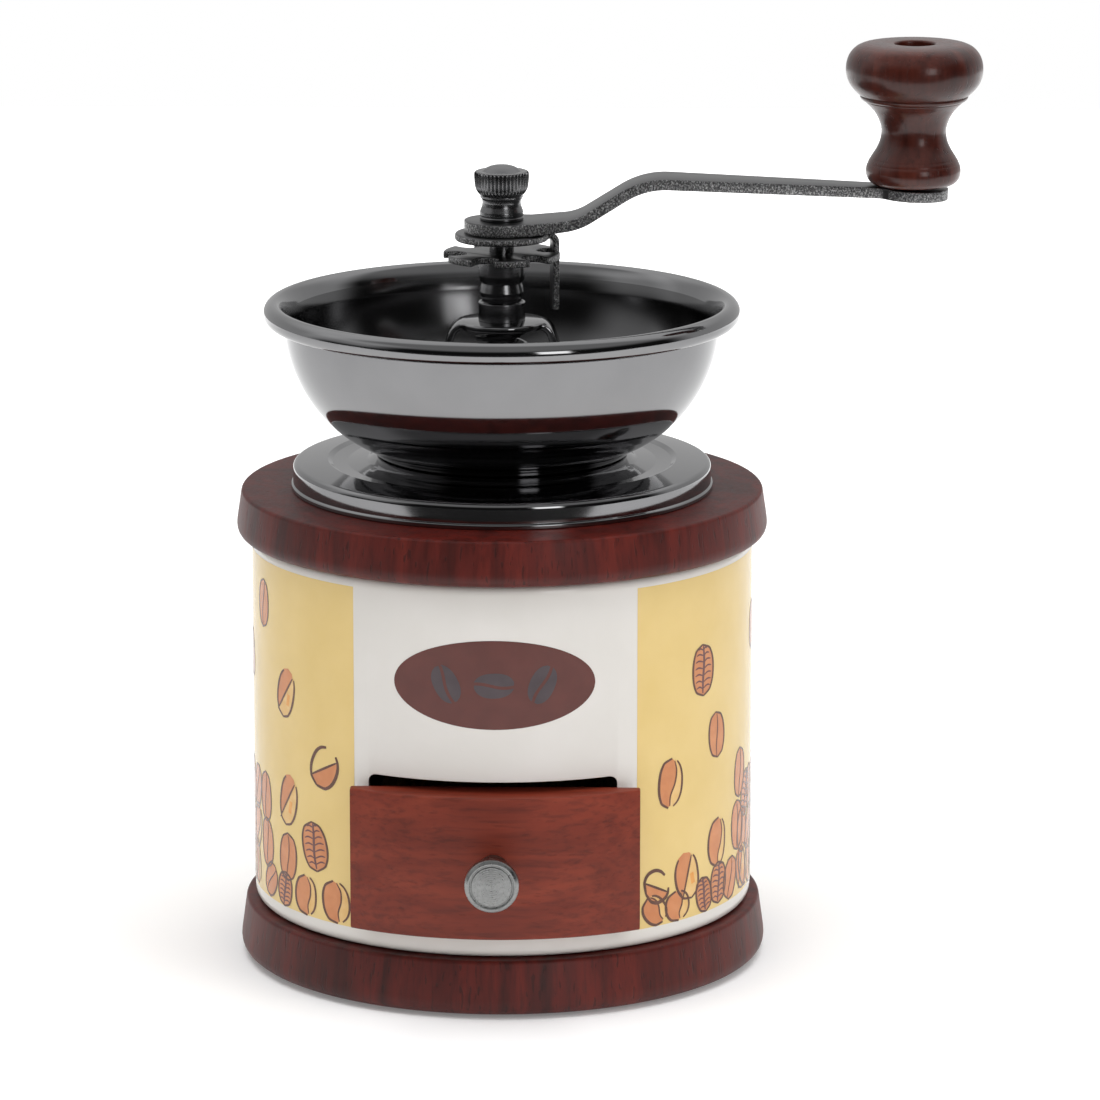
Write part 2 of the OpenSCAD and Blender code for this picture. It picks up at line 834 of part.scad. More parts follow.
// Plank with a flat back and a face curved like the porcelain
module drawer_front() {
  color([0.42, 0.18, 0.13])
    difference() {
      intersection() {
        translate([0, 0, plank_low_z])
          cylinder(h = plank_h, r = plank_face_r, $fn = 180);
        translate([-plank_w / 2, -plank_face_r - 1, plank_low_z - 1])
          cube([plank_w, plank_face_r + 1 - plank_back_y, plank_h + 2]);
      }
      translate([0, 0, pull_z])
        rotate([90, 0, 0])
          cylinder(h = big, r = rod_hole_r);
    }
}

module board(x0, x1, y0, y1, z0, z1) {
  translate([x0, y0, z0])
    cube([x1 - x0, y1 - y0, z1 - z0]);
}

module drawer_side_left() {
  color([0.76, 0.60, 0.42])
    board(-box_half, board_t - box_half, -plank_back_y, box_back_y, box_low_z, box_top_z);
}

module drawer_side_right() {
  color([0.76, 0.60, 0.42])
    board(box_half - board_t, box_half, -plank_back_y, box_back_y, box_low_z, box_top_z);
}

module drawer_back() {
  color([0.76, 0.60, 0.42])
    board(board_t - box_half, box_half - board_t, box_back_y - board_t, box_back_y, box_low_z, box_top_z);
}

module drawer_bottom() {
  color([0.80, 0.66, 0.48])
    board(board_t - box_half, box_half - board_t, -plank_back_y, box_back_y - board_t, box_low_z + 1, box_low_z + 1 + floor_t);
}

// Turned pull with a flat ringed face
module drawer_pull() {
  color([0.55, 0.55, 0.54])
    translate([0, -plank_face_r, pull_z])
      rotate([90, 0, 0])
        rotate_extrude()
          polygon([
            [0, 8],
            [rod_r + bore_gap, 8],
            [rod_r + bore_gap, 0],
            [3.1, 0],
            [3.1, 0.4],
            [2.9, 0.9],
            [2.9, 5],
            [3.6, 7.6],
            [4.9, 9.6],
            [pull_r, 10.6],
            [pull_r, 11.8],
            [pull_r - 0.6, pull_len - 0.1],
            [pull_r - 1.1, pull_len],
            [pull_r - 1.3, pull_len - 0.25],
            [pull_r - 1.6, pull_len - 0.25],
            [pull_r - 1.8, pull_len],
            [0, pull_len]]);
}

module pull_screw() {
  color([0.62, 0.62, 0.60])
    translate([0, -plank_back_y, pull_z])
      rotate([-90, 0, 0])
        pan_screw(rod_r, 3.6, 2.2, 0, plank_face_r - plank_back_y + 7);
}

base_disc();
base_pad();
porcelain_body();
top_disc();
tie_rods();
tie_washers();
tie_nuts();
runner_left();
runner_right();
flange_plate();
hopper_bowl();
bridge();
bridge_screws();
bridge_bush();
outer_burr();
mill_screws();
bearing_bracket();
bracket_screws();
star_nut();
spring();
spring_washer();
shaft();
inner_burr();
burr_washer();
burr_nut();
index_plate();
crank_arm();
knob_bolt();
crank_knob();
thumb_nut();
drawer_front();
drawer_side_left();
drawer_side_right();
drawer_back();
drawer_bottom();
drawer_pull();
pull_screw();
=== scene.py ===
import math
import random

import bmesh
import bpy
from mathutils import Matrix, Vector


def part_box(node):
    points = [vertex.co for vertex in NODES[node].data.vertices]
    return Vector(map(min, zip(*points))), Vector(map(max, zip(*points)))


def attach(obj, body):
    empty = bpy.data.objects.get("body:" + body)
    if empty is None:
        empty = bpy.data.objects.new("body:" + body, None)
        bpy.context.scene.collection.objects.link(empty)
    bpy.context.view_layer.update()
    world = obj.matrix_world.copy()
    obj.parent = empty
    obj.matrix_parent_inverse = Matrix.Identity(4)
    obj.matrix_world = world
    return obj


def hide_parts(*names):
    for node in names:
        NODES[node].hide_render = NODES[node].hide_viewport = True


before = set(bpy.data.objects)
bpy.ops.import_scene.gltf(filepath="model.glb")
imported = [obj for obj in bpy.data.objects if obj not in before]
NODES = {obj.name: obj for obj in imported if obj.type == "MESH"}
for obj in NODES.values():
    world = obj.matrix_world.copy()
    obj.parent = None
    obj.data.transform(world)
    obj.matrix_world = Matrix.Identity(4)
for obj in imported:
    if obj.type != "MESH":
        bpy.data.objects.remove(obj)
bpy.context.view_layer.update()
MM = 0.001
RNG = random.Random(11)


def low(node, axis=2):
    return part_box(node)[0][axis] / MM


def high(node, axis=2):
    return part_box(node)[1][axis] / MM


# ---------------------------------------------------------------- mesh tools

def finish_mesh(name, verts, faces, material, angle=32.0):
    mesh = bpy.data.meshes.new(name)
    mesh.from_pydata([tuple(c * MM for c in v) for v in verts], [], faces)
    mesh.validate()
    bm = bmesh.new()
    bm.from_mesh(mesh)
    bmesh.ops.remove_doubles(bm, verts=bm.verts, dist=1e-7)
    bmesh.ops.recalc_face_normals(bm, faces=bm.faces)
    bm.to_mesh(mesh)
    bm.free()
    mesh.shade_smooth()
    mesh.set_sharp_from_angle(angle=math.radians(angle))
    mesh.materials.append(material)
    obj = bpy.data.objects.new(name, mesh)
    bpy.context.scene.collection.objects.link(obj)
    return obj


def fillet(points, steps=5, closed=True):
    """Rounds each (x, y, radius) corner of an outline with an arc of that radius."""
    out = []
    n = len(points)
    for i, p in enumerate(points):
        x, y = p[0], p[1]
        r = p[2] if len(p) > 2 else 0.0
        if r <= 0 or (not closed and i in (0, n - 1)):
            out.append((x, y))
            continue
        a = Vector(points[i - 1][:2]) - Vector((x, y))
        b = Vector(points[(i + 1) % n][:2]) - Vector((x, y))
        la, lb = a.length, b.length
        a.normalize()
        b.normalize()
        turn = math.pi - a.angle(b)
        if turn < 1e-3:
            out.append((x, y))
            continue
        cut = min(r * math.tan(turn / 2), 0.49 * la, 0.49 * lb)
        p0, p2 = Vector((x, y)) + a * cut, Vector((x, y)) + b * cut
        for k in range(steps + 1):
            t = k / steps
            q = p0 * (1 - t) ** 2 + Vector((x, y)) * 2 * t * (1 - t) + p2 * t * t
            out.append((q.x, q.y))
    return out


def spline(points, per=6):
    """Catmull-Rom curve through open points."""
    pts = [Vector(p) for p in points]
    pts = [pts[0] * 2 - pts[1]] + pts + [pts[-1] * 2 - pts[-2]]
    out = []
    for i in range(1, len(pts) - 2):
        a, b, c, d = pts[i - 1 : i + 3]
        for k in range(per):
            t = k / per
            out.append(tuple(0.5 * ((2 * b) + (c - a) * t + (2 * a - 5 * b + 4 * c - d) * t * t
                                    + (3 * b - a - 3 * c + d) * t ** 3)))
    out.append(tuple(pts[-2]))
    return out


def lathe(name, profile, material, segs=192, closed=True, wobble=None, angle=32.0):
    """Turns an (r, z) outline in mm about +Z. wobble(r, z, angle) gives a changed radius."""
    verts, faces, rows = [], [], []
    for r, z in profile:
        if r < 1e-6:
            rows.append([len(verts)])
            verts.append((0.0, 0.0, z))
            continue
        row = []
        for k in range(segs):
            a = 2 * math.pi * k / segs
            rr = wobble(r, z, a) if wobble else r
            row.append(len(verts))
            verts.append((rr * math.cos(a), rr * math.sin(a), z))
        rows.append(row)
    pairs = list(zip(rows, rows[1:] + (rows[:1] if closed else [])))
    if not closed:
        pairs = pairs[: len(rows) - 1]
    for a, b in pairs:
        if len(a) == 1 and len(b) == 1:
            continue
        for k in range(segs):
            j = (k + 1) % segs
            if len(a) == 1:
                faces.append((a[0], b[j], b[k]))
            elif len(b) == 1:
                faces.append((a[k], a[j], b[0]))
            else:
                faces.append((a[k], a[j], b[j], b[k]))
    return finish_mesh(name, verts, faces, material, angle)


def place(obj, matrix):
    """Moves the mesh itself, so that the object stays at the origin."""
    obj.data.transform(matrix)
    obj.data.update()
    return obj


def prism(name, outline, z0, z1, material, edge=0.3, steps=3, angle=40.0):
    """Extrudes an (x, y) outline with rounded rims."""
    bm = bmesh.new()
    face = bm.faces.new([bm.verts.new((x * MM, y * MM, z0 * MM)) for x, y in outline])
    grown = bmesh.ops.extrude_face_region(bm, geom=[face])
    tops = [v for v in grown["geom"] if isinstance(v, bmesh.types.BMVert)]
    bmesh.ops.translate(bm, vec=(0, 0, (z1 - z0) * MM), verts=tops)
    bmesh.ops.recalc_face_normals(bm, faces=bm.faces)
    if edge > 0:
        rims = [e for e in bm.edges if abs(e.verts[0].co.z - e.verts[1].co.z) < 1e-9
                and len(e.link_faces) == 2 and e.calc_face_angle(0) > 1.0]
        bmesh.ops.bevel(bm, geom=rims, offset=edge * MM, segments=steps, profile=0.5,
                        affect="EDGES", clamp_overlap=True)
    mesh = bpy.data.meshes.new(name)
    bm.to_mesh(mesh)
    bm.free()
    mesh.shade_smooth()
    mesh.set_sharp_from_angle(angle=math.radians(angle))
    mesh.materials.append(material)
    obj = bpy.data.objects.new(name, mesh)
    bpy.context.scene.collection.objects.link(obj)
    return obj


def strap(name, path, half_width, thick, material, round_mm=0.35, angle=40.0):
    """Lofts a rounded strip along an (x, z) path. half_width(i, x, z) is in mm and thick a number or list."""
    n = len(path)
    verts, faces, rings = [], [], []
    for i, (x, z) in enumerate(path):
        a, b = Vector(path[max(i - 1, 0)]), Vector(path[min(i + 1, n - 1)])
        d = (b - a).normalized()
        nx, nz = -d.y, d.x
        w = half_width(i, x, z)
        t = (thick[i] if isinstance(thick, list) else thick) / 2
        r = min(round_mm, 0.48 * t * 2, max(w, 0.02) * 0.9)
        ring = []
        for sy, sn, a0 in ((1, 1, 0), (-1, 1, 90), (-1, -1, 180), (1, -1, 270)):
            for k in range(4):
                ang = math.radians(a0 + 90 * k / 3)
                y = sy * (w - r) + r * math.cos(ang)
                h = sn * (t - r) + r * math.sin(ang)
                ring.append(len(verts))
                verts.append((x + nx * h, y, z + nz * h))
        rings.append(ring)
    m = len(rings[0])
    for a, b in zip(rings, rings[1:]):
        for k in range(m):
            j = (k + 1) % m
            faces.append((a[k], a[j], b[j], b[k]))
    faces.append(tuple(reversed(rings[0])))
    faces.append(tuple(rings[-1]))
    return finish_mesh(name, verts, faces, material, angle)


def arc(cx, cz, r, a0, a1, n):
    return [(cx + r * math.cos(math.radians(a0 + (a1 - a0) * i / n)),
             cz + r * math.sin(math.radians(a0 + (a1 - a0) * i / n))) for i in range(n + 1)]


def join(main, other):
    """Makes one piece of two. The first one keeps its name."""
    for o in bpy.context.selected_objects:
        o.select_set(False)
    other.select_set(True)
    main.select_set(True)
    bpy.context.view_layer.objects.active = main
    bpy.ops.object.join()


# ---------------------------------------------------------------- materials

def srgb(r, g, b):
    def lin(c):
        c /= 255.0
        return c / 12.92 if c <= 0.04045 else ((c + 0.055) / 1.055) ** 2.4
    return (lin(r), lin(g), lin(b), 1.0)


class Look:
    """A Principled material and short calls for its nodes. Coordinates are the object's, in metres."""

    def __init__(self, name, rough=0.4, metallic=0.0, ior=1.5, coat=0.0, coat_rough=0.1):
        self.mat = bpy.data.materials.new(name)
        self.mat.use_nodes = True
        self.tree = self.mat.node_tree
        self.bsdf = self.tree.nodes["Principled BSDF"]
        self.bsdf.inputs["Roughness"].default_value = rough
        self.bsdf.inputs["Metallic"].default_value = metallic
        self.bsdf.inputs["IOR"].default_value = ior
        self.bsdf.inputs["Coat Weight"].default_value = coat
        self.bsdf.inputs["Coat Roughness"].default_value = coat_rough
        self.coord = self.node("ShaderNodeTexCoord").outputs["Object"]

    def node(self, kind, **values):
        made = self.tree.nodes.new(kind)
        for key, value in values.items():
            if hasattr(made, key):
                setattr(made, key, value)
        return made

    def link(self, a, b):
        self.tree.links.new(a, b)

    def noise(self, scale, stretch=(1, 1, 1), detail=3.0, rough=0.5, distortion=0.0, turn=(0, 0, 0),
        shift=(0, 0, 0)):
        mapping = self.node("ShaderNodeMapping")
        mapping.inputs["Scale"].default_value = stretch
        mapping.inputs["Rotation"].default_value = turn
        mapping.inputs["Location"].default_value = shift
        self.link(self.coord, mapping.inputs["Vector"])
        tex = self.node("ShaderNodeTexNoise")
        tex.inputs["Scale"].default_value = scale
        tex.inputs["Detail"].default_value = detail
        tex.inputs["Roughness"].default_value = rough
        tex.inputs["Distortion"].default_value = distortion
        self.link(mapping.outputs[0], tex.inputs["Vector"])
        return tex.outputs["Fac"]

    def ramp(self, value, stops):
        node = self.node("ShaderNodeValToRGB")
        ends = node.color_ramp.elements
        while len(ends) < len(stops):
            ends.new(0.5)
        for e, (pos, colour) in zip(ends, stops):
            e.position = pos
            e.color = colour if hasattr(colour, "__len__") else (colour, colour, colour, 1.0)
        self.link(value, node.inputs["Fac"])
        return node.outputs["Color"]

    def mix(self, factor, a, b, blend="MIX"):
        node = self.node("ShaderNodeMix", data_type="RGBA", blend_type=blend)
        if hasattr(factor, "node"):
            self.link(factor, node.inputs[0])
        else:
            node.inputs[0].default_value = factor
        for value, socket in ((a, node.inputs[6]), (b, node.inputs[7])):
            if hasattr(value, "node"):
                self.link(value, socket)
            else:
                socket.default_value = value
        return node.outputs[2]

    def math(self, op, a, b=0.0):
        node = self.node("ShaderNodeMath", operation=op)
        for value, socket in ((a, node.inputs[0]), (b, node.inputs[1])):
            if hasattr(value, "node"):
                self.link(value, socket)
            else:
                socket.default_value = value
        return node.outputs[0]

    def rough(self, value, lo, hi):
        node = self.node("ShaderNodeMapRange")
        node.inputs["To Min"].default_value = lo
        node.inputs["To Max"].default_value = hi
        self.link(value, node.inputs["Value"])
        self.link(node.outputs[0], self.bsdf.inputs["Roughness"])

    def colour(self, value):
        self.link(value, self.bsdf.inputs["Base Color"])

    def bump(self, height, distance_mm, strength=1.0, before=None):
        node = self.node("ShaderNodeBump")
        node.inputs["Distance"].default_value = distance_mm * MM
        node.inputs["Strength"].default_value = strength
        self.link(height, node.inputs["Height"])
        if before is not None:
            self.link(before, node.inputs["Normal"])
        self.link(node.outputs[0], self.bsdf.inputs["Normal"])
        return node.outputs[0]


def wood(name, dark, mid, light, grain, rough=0.34, coat=0.25, coat_rough=0.18, pores=0.5, shift=(0, 0, 0)):
    """Stained wood. grain is the axis the fibres run along."""
    look = Look(name, ior=1.4, coat=coat, coat_rough=coat_rough)
    along, across = 0.055, 1.0
    stretch = [across, across, across]
    stretch["XYZ".index(grain)] = along
    fibres = look.noise(900, stretch, 4.0, 0.62, 0.3, shift=shift)
    bands = look.noise(130, stretch, 2.0, 0.5, 1.2, shift=shift)
    clouds = look.noise(45, (1, 1, 1), 3.0, 0.55, shift=shift)
    base = look.ramp(bands, [(0.30, dark), (0.52, mid), (0.78, light)])
    tone = look.ramp(clouds, [(0.25, 0.87), (0.75, 1.09)])
    base = look.mix(1.0, base, tone, "MULTIPLY")
    fine = look.ramp(fibres, [(0.30, 0.62), (0.52, 1.0), (0.8, 1.12)])
    base = look.mix(1.0, base, fine, "MULTIPLY")
    pore_stretch = list(stretch)
    pore_stretch["XYZ".index(grain)] = 0.16
    pore = look.noise(1500, pore_stretch, 1.0, 0.4, 0.0, shift=(3, 1, 2))
    mask = look.ramp(pore, [(0.655, 0.0), (0.70, 1.0)])
    base = look.mix(look.math("MULTIPLY", mask, pores), base, tuple(c * 0.30 for c in dark[:3]) + (1.0,))
    look.colour(base)
    look.rough(fibres, rough - 0.07, rough + 0.10)
    height = look.math("SUBTRACT", fibres, look.math("MULTIPLY", mask, 1.2))
    look.bump(height, 0.05, 0.55)
    return look.mat


def metal(name, a, b, rough, spread=0.05, stretch=(1, 1, 1), bump_mm=0.0, bump_scale=900):
    look = Look(name, metallic=1.0)
    patch = look.noise(70, (1, 1, 1), 3.0, 0.55)
    look.colour(look.ramp(patch, [(0.3, a), (0.7, b)]))
    fine = look.noise(bump_scale, stretch, 3.0, 0.6)
    blend = look.math("ADD", look.math("MULTIPLY", patch, 0.5), look.math("MULTIPLY", fine, 0.5))
    look.rough(blend, max(rough - spread, 0.02), rough + spread)
    if bump_mm:
        look.bump(fine, bump_mm, 0.6)
    return look.mat


def glaze(name, a, b, rough=0.1, patch=60.0):
    look = Look(name)
    tone = look.noise(patch, (1, 1, 1), 3.0, 0.5)
    look.colour(look.ramp(tone, [(0.3, a), (0.7, b)]))
    look.rough(look.noise(240, (1, 1, 1), 2.0, 0.5), rough - 0.03, rough + 0.04)
    look.bump(look.noise(55, (1, 1, 0.7), 1.0, 0.4), 0.06, 0.35)
    return look.mat


M = {}
M["disc"] = wood("stained_disc_wood", srgb(56, 13, 8), srgb(80, 20, 13), srgb(98, 28, 18), "Z", rough=0.46,
    coat=0.04,
                 coat_rough=0.25, pores=0.55)
M["front"] = wood("stained_drawer_wood", srgb(104, 37, 22), srgb(119, 45, 28), srgb(131, 53, 34), "X",
    rough=0.5, coat=0.03,
                  coat_rough=0.3, pores=0.2)
M["knob"] = wood("stained_knob_wood", srgb(44, 15, 11), srgb(64, 24, 16), srgb(84, 36, 25), "Z", rough=0.30,
    coat=0.35,
                 coat_rough=0.16, pores=0.15)
M["board"] = wood("plain_board_wood", srgb(176, 138, 96), srgb(196, 160, 116), srgb(210, 178, 136), "Y",
    rough=0.55, coat=0.0,
                  pores=0.35)
M["porcelain"] = glaze("glazed_porcelain", srgb(221, 217, 211), srgb(226, 222, 217), 0.13)
M["yellow"] = glaze("decal_yellow", srgb(224, 194, 122), srgb(229, 200, 131), 0.13, 90.0)
M["ink"] = glaze("decal_brown_ink", srgb(84, 52, 36), srgb(104, 66, 50), 0.14, 420.0)
M["violet"] = glaze("decal_violet_ink", srgb(96, 58, 58), srgb(112, 72, 66), 0.14, 420.0)
M["fill"] = glaze("decal_bean_fill", srgb(198, 124, 76), srgb(210, 138, 88), 0.14, 300.0)
M["fill_light"] = glaze("decal_bean_light", srgb(222, 176, 104), srgb(231, 192, 128), 0.14, 500.0)
M["fill_smear"] = glaze("decal_bean_smear", srgb(224, 150, 66), srgb(229, 168, 92), 0.14, 500.0)
M["badge"] = glaze("decal_badge", srgb(86, 37, 29), srgb(94, 42, 34), 0.13, 200.0)
M["badge_ink"] = glaze("decal_badge_ink", srgb(62, 50, 54), srgb(74, 62, 66), 0.13, 200.0)
M["nickel"] = metal("black_nickel", (0.245, 0.245, 0.25, 1), (0.265, 0.265, 0.27, 1), 0.08, 0.025,
    bump_mm=0.0)
M["turned"] = metal("turned_black_nickel", (0.18, 0.18, 0.185, 1), (0.23, 0.23, 0.235, 1), 0.24, 0.06,
    stretch=(1, 1, 6),
                    bump_mm=0.02, bump_scale=700)
M["crank"] = metal("satin_black_nickel", (0.10, 0.10, 0.103, 1), (0.135, 0.135, 0.138, 1), 0.30, 0.07,
    stretch=(0.35, 1, 1),
                   bump_mm=0.03, bump_scale=1400)
# A darker copy of the black nickel for the bowl's inside faces: painted shade in the hollow of the bowl, with
# a rougher finish.
M["inside"] = metal("black_nickel_inside_shaded", (0.14, 0.14, 0.143, 1), (0.155, 0.155, 0.158, 1), 0.17, 0.03)
M["knurl"] = metal("knurled_black_nickel", (0.22, 0.22, 0.225, 1), (0.28, 0.28, 0.285, 1), 0.24, 0.04)


def torn(name):
    """Sheared sheet edge: dark, with bright flecks where the metal tore."""
    look = Look(name, metallic=1.0)
    flecks = look.noise(3300, (1, 1, 0.75), 2.0, 0.75)
    look.colour(look.ramp(flecks, [(0.36, (0.08, 0.08, 0.082, 1)), (0.52, (0.20, 0.20, 0.202, 1)), (0.68,
        (0.72, 0.72, 0.72, 1))]))
    look.rough(flecks, 0.55, 0.38)
    look.bump(flecks, 0.16, 0.9)
    return look.mat


M["sheared"] = torn("sheared_black_nickel")
M["zinc"] = metal("bright_zinc", (0.60, 0.60, 0.57, 1), (0.70, 0.70, 0.67, 1), 0.28, 0.08, bump_mm=0.01)
M["cast"] = metal("cast_burr_iron", (0.10, 0.10, 0.105, 1), (0.16, 0.16, 0.165, 1), 0.45, 0.12,
    bump_mm=0.06, bump_scale=1100)


def face_rings(name):
    """Lathe-turned zinc alloy whose face carries fine rings about the pull's own axis."""
    look = Look(name, metallic=1.0)
    centre_z = (low("drawer_pull") + high("drawer_pull")) / 2 * MM
    apart = look.node("ShaderNodeSeparateXYZ")
    look.link(look.coord, apart.inputs[0])
    dz = look.math("SUBTRACT", apart.outputs["Z"], centre_z)
    square = look.math("ADD", look.math("MULTIPLY", apart.outputs["X"], apart.outputs["X"]),
        look.math("MULTIPLY", dz, dz))
    radius = look.math("SQRT", square)
    rings = look.math("SINE", look.math("MULTIPLY", radius, 2 * math.pi / (0.42 * MM)))
    grit = look.noise(1600, (1, 1, 1), 2.0, 0.6)
    look.colour(look.ramp(grit, [(0.3, (0.24, 0.243, 0.24, 1)), (0.7, (0.31, 0.314, 0.31, 1))]))
    look.rough(grit, 0.22, 0.36)
    look.bump(look.math("ADD", rings, look.math("MULTIPLY", grit, 0.8)), 0.012, 0.8)
    return look.mat


M["pull"] = face_rings("turned_zinc_alloy")


def foam():
    look = Look("black_foam", rough=0.9)
    cells = look.noise(2200, (1, 1, 1), 2.0, 0.6)
    look.colour(look.ramp(cells, [(0.3, srgb(22, 22, 23)), (0.7, srgb(40, 40, 41))]))
    look.bump(cells, 0.15, 0.8)
    return look.mat


M["foam"] = foam()


def shear_edges(obj, is_edge, look="sheared"):
    """Gives the chosen faces of a part another look: by default the torn, rough one of a sheared edge."""
    obj.data.materials.append(M[look])
    at = len(obj.data.materials) - 1
    for poly in obj.data.polygons:
        if is_edge(poly.normal, poly.center / MM):
            poly.material_index = at
    return obj


# ---------------------------------------------------------------- CAD nodes that stay
KEPT = {
    "base_pad": "foam", "tie_rods": "zinc", "tie_washers": "zinc", "tie_nuts": "zinc",
    "runner_left": "board", "runner_right": "board", "bridge_screws": "turned", "outer_burr": "cast",
    "mill_screws": "zinc", "bearing_bracket": "zinc", "bracket_screws": "zinc", "spring": "turned",
    "spring_washer": "zinc", "shaft": "turned", "inner_burr": "cast", "burr_washer": "zinc",
    "burr_nut": "zinc",
    "drawer_side_left": "board", "drawer_side_right": "board", "drawer_back": "board",
    "drawer_bottom": "board", "pull_screw": "zinc", "knob_bolt": "zinc",
}
for node_name, look_name in KEPT.items():
    mesh = NODES[node_name].data
    mesh.materials.clear()
    mesh.materials.append(M[look_name])


def stand_for(obj, body, *nodes):
    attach(obj, body)
    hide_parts(*nodes)
    return obj


# ---------------------------------------------------------------- wooden discs
foot = low("base_disc")
deck = high("porcelain_body") - 76.2
R_DISC = high("base_disc", 0)
spigot_top = high("base_disc")
stand_for(lathe("base_disc_turned", fillet([
    (0, foot + 0.6), (47.2, foot + 0.6, 0.1), (47.2, foot, 0.2), (R_DISC, foot, 3.2),
    (R_DISC - 1.6, deck, 1.0),
    (45.9, deck, 0.2), (45.9, spigot_top, 0.4), (0, spigot_top)], 8), M["disc"], 256), "housing", "base_disc")

head = high("porcelain_body")
crown = high("top_disc")
stand_for(lathe("top_disc_turned", fillet([
    (21.5, head - 2, 0.3), (45.9, head - 2, 0.3), (45.9, head, 0.2), (R_DISC, head, 2.7),
    (R_DISC - 1.4, crown, 0.9),
    (21.5, crown, 0.3)], 8), M["disc"], 256), "housing", "top_disc")

# ---------------------------------------------------------------- porcelain
R = high("porcelain_body", 0)
R_IN = R - 4.8
body = lathe("porcelain_sleeve", fillet([
    (R_IN, deck, 1.0), (R, deck, 3.8), (R, head, 2.0), (R_IN, head, 1.0)], 10), M["porcelain"], 288)


def rounded_rect(x0, x1, z0, z1, r, n=5):
    out = []
    for cx, cz, a in ((x1 - r, z1 - r, 0), (x0 + r, z1 - r, 90), (x0 + r, z0 + r, 180),
        (x1 - r, z0 + r, 270)):
        out += arc(cx, cz, r, a, a + 90, n)
    return out


OPEN = (-25.3, 24.3, 16.2, 48.4)
cutter = prism("cutter", rounded_rect(*OPEN, 1.6), 0, 70, M["porcelain"], 0)
place(cutter, Matrix.Rotation(math.pi / 2, 4, "X"))
cut = body.modifiers.new("opening", "BOOLEAN")
cut.object, cut.operation, cut.solver = cutter, "DIFFERENCE", "EXACT"
soft = body.modifiers.new("eased", "BEVEL")
soft.width, soft.segments, soft.limit_method, soft.angle_limit = 0.45 * MM, 3, "ANGLE", math.radians(50)
soft.harden_normals = False
dg = bpy.context.evaluated_depsgraph_get()
solid = bpy.data.meshes.new_from_object(body.evaluated_get(dg))
body.modifiers.clear()
body.data = solid
solid.shade_smooth()
solid.set_sharp_from_angle(angle=math.radians(35))
bpy.data.objects.remove(cutter)
stand_for(body, "housing", "porcelain_body")


# ---------------------------------------------------------------- decals on the porcelain
def wrap(s, z, lift):
    """Point on the porcelain: s is millimetres round it from the middle of the front, to +X."""
    a = s / R
    return ((R + lift) * math.sin(a), -(R + lift) * math.cos(a), z)


class Sheet:
    """Collects thin patches and ribbons that lie on the porcelain."""

    def __init__(self, name, material, lift):
        self.name, self.material, self.lift = name, material, lift
        self.verts, self.faces = [], []

    def grid(self, rows):
        at = len(self.verts)
        wide = len(rows[0])
        for row in rows:
            self.verts += [wrap(s, z, self.lift) for s, z in row]
        for i in range(len(rows) - 1):
            for k in range(wide - 1):
                a = at + i * wide + k
                self.faces.append((a, a + 1, a + 1 + wide, a + wide))

    def ribbon(self, points, widths):
        rows = []
        n = len(points)
        for i, p in enumerate(points):
            d = Vector(points[min(i + 1, n - 1)]) - Vector(points[max(i - 1, 0)])
            d.normalize()
            side = Vector((-d.y, d.x)) * widths[i] / 2
            rows.append([tuple(Vector(p) - side), tuple(Vector(p) + side)])
        self.grid(rows)

    def build(self):
        mesh = bpy.data.meshes.new(self.name)
        mesh.from_pydata([tuple(c * MM for c in v) for v in self.verts], [], self.faces)
        mesh.shade_smooth()
        mesh.materials.append(self.material)
        obj = bpy.data.objects.new(self.name, mesh)
        bpy.context.scene.collection.objects.link(obj)
        bm = bmesh.new()
        bm.from_mesh(mesh)
        for f in bm.faces:
            c = f.calc_center_median()
            if f.normal.x * c.x + f.normal.y * c.y < 0:
                f.normal_flip()
        bm.to_mesh(mesh)
        bm.free()
        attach(obj, "housing")
        return obj


S = {
    "yellow": Sheet("decal_panels", M["yellow"], 0.03),
    "fill": Sheet("decal_bean_fills", M["fill"], 0.05),
    "light": Sheet("decal_bean_lights", M["fill_light"], 0.05),
    "smear": Sheet("decal_bean_smears", M["fill_smear"], 0.065),
    "ink": Sheet("decal_bean_lines", M["ink"], 0.08),
    "violet": Sheet("decal_bean_veins", M["violet"], 0.075),
    "badge": Sheet("decal_badge_oval", M["badge"], 0.03),
    "badge_ink": Sheet("decal_badge_beans", M["badge_ink"], 0.05),
}
PANEL0, PANEL1 = math.radians(33.4) * R, math.radians(180 - 33.4) * R
PANEL_LOW, PANEL_HIGH = deck + 3.7, head - 2.1
for side in (-1, 1):
    S["yellow"].grid([[(side * (PANEL0 + (PANEL1 - PANEL0) * k / 90),
        PANEL_LOW + (PANEL_HIGH - PANEL_LOW) * i / 24)
                       for k in range(91)] for i in range(25)])


def oval_grid(sheet, cx, cz, a, b, rings=10, n=96):
    at = len(sheet.verts)
    sheet.verts.append(wrap(cx, cz, sheet.lift))
    for i in range(1, rings + 1):
        for k in range(n):
            t = 2 * math.pi * k / n
            sheet.verts.append(wrap(cx + a * i / rings * math.cos(t), cz + b * i / rings * math.sin(t),
                sheet.lift))
    for k in range(n):
        sheet.faces.append((at, at + 1 + k, at + 1 + (k + 1) % n))
    for i in range(rings - 1):
        for k in range(n):
            p, q = at + 1 + i * n + k, at + 1 + i * n + (k + 1) % n
            sheet.faces.append((p, q, q + n, p + n))


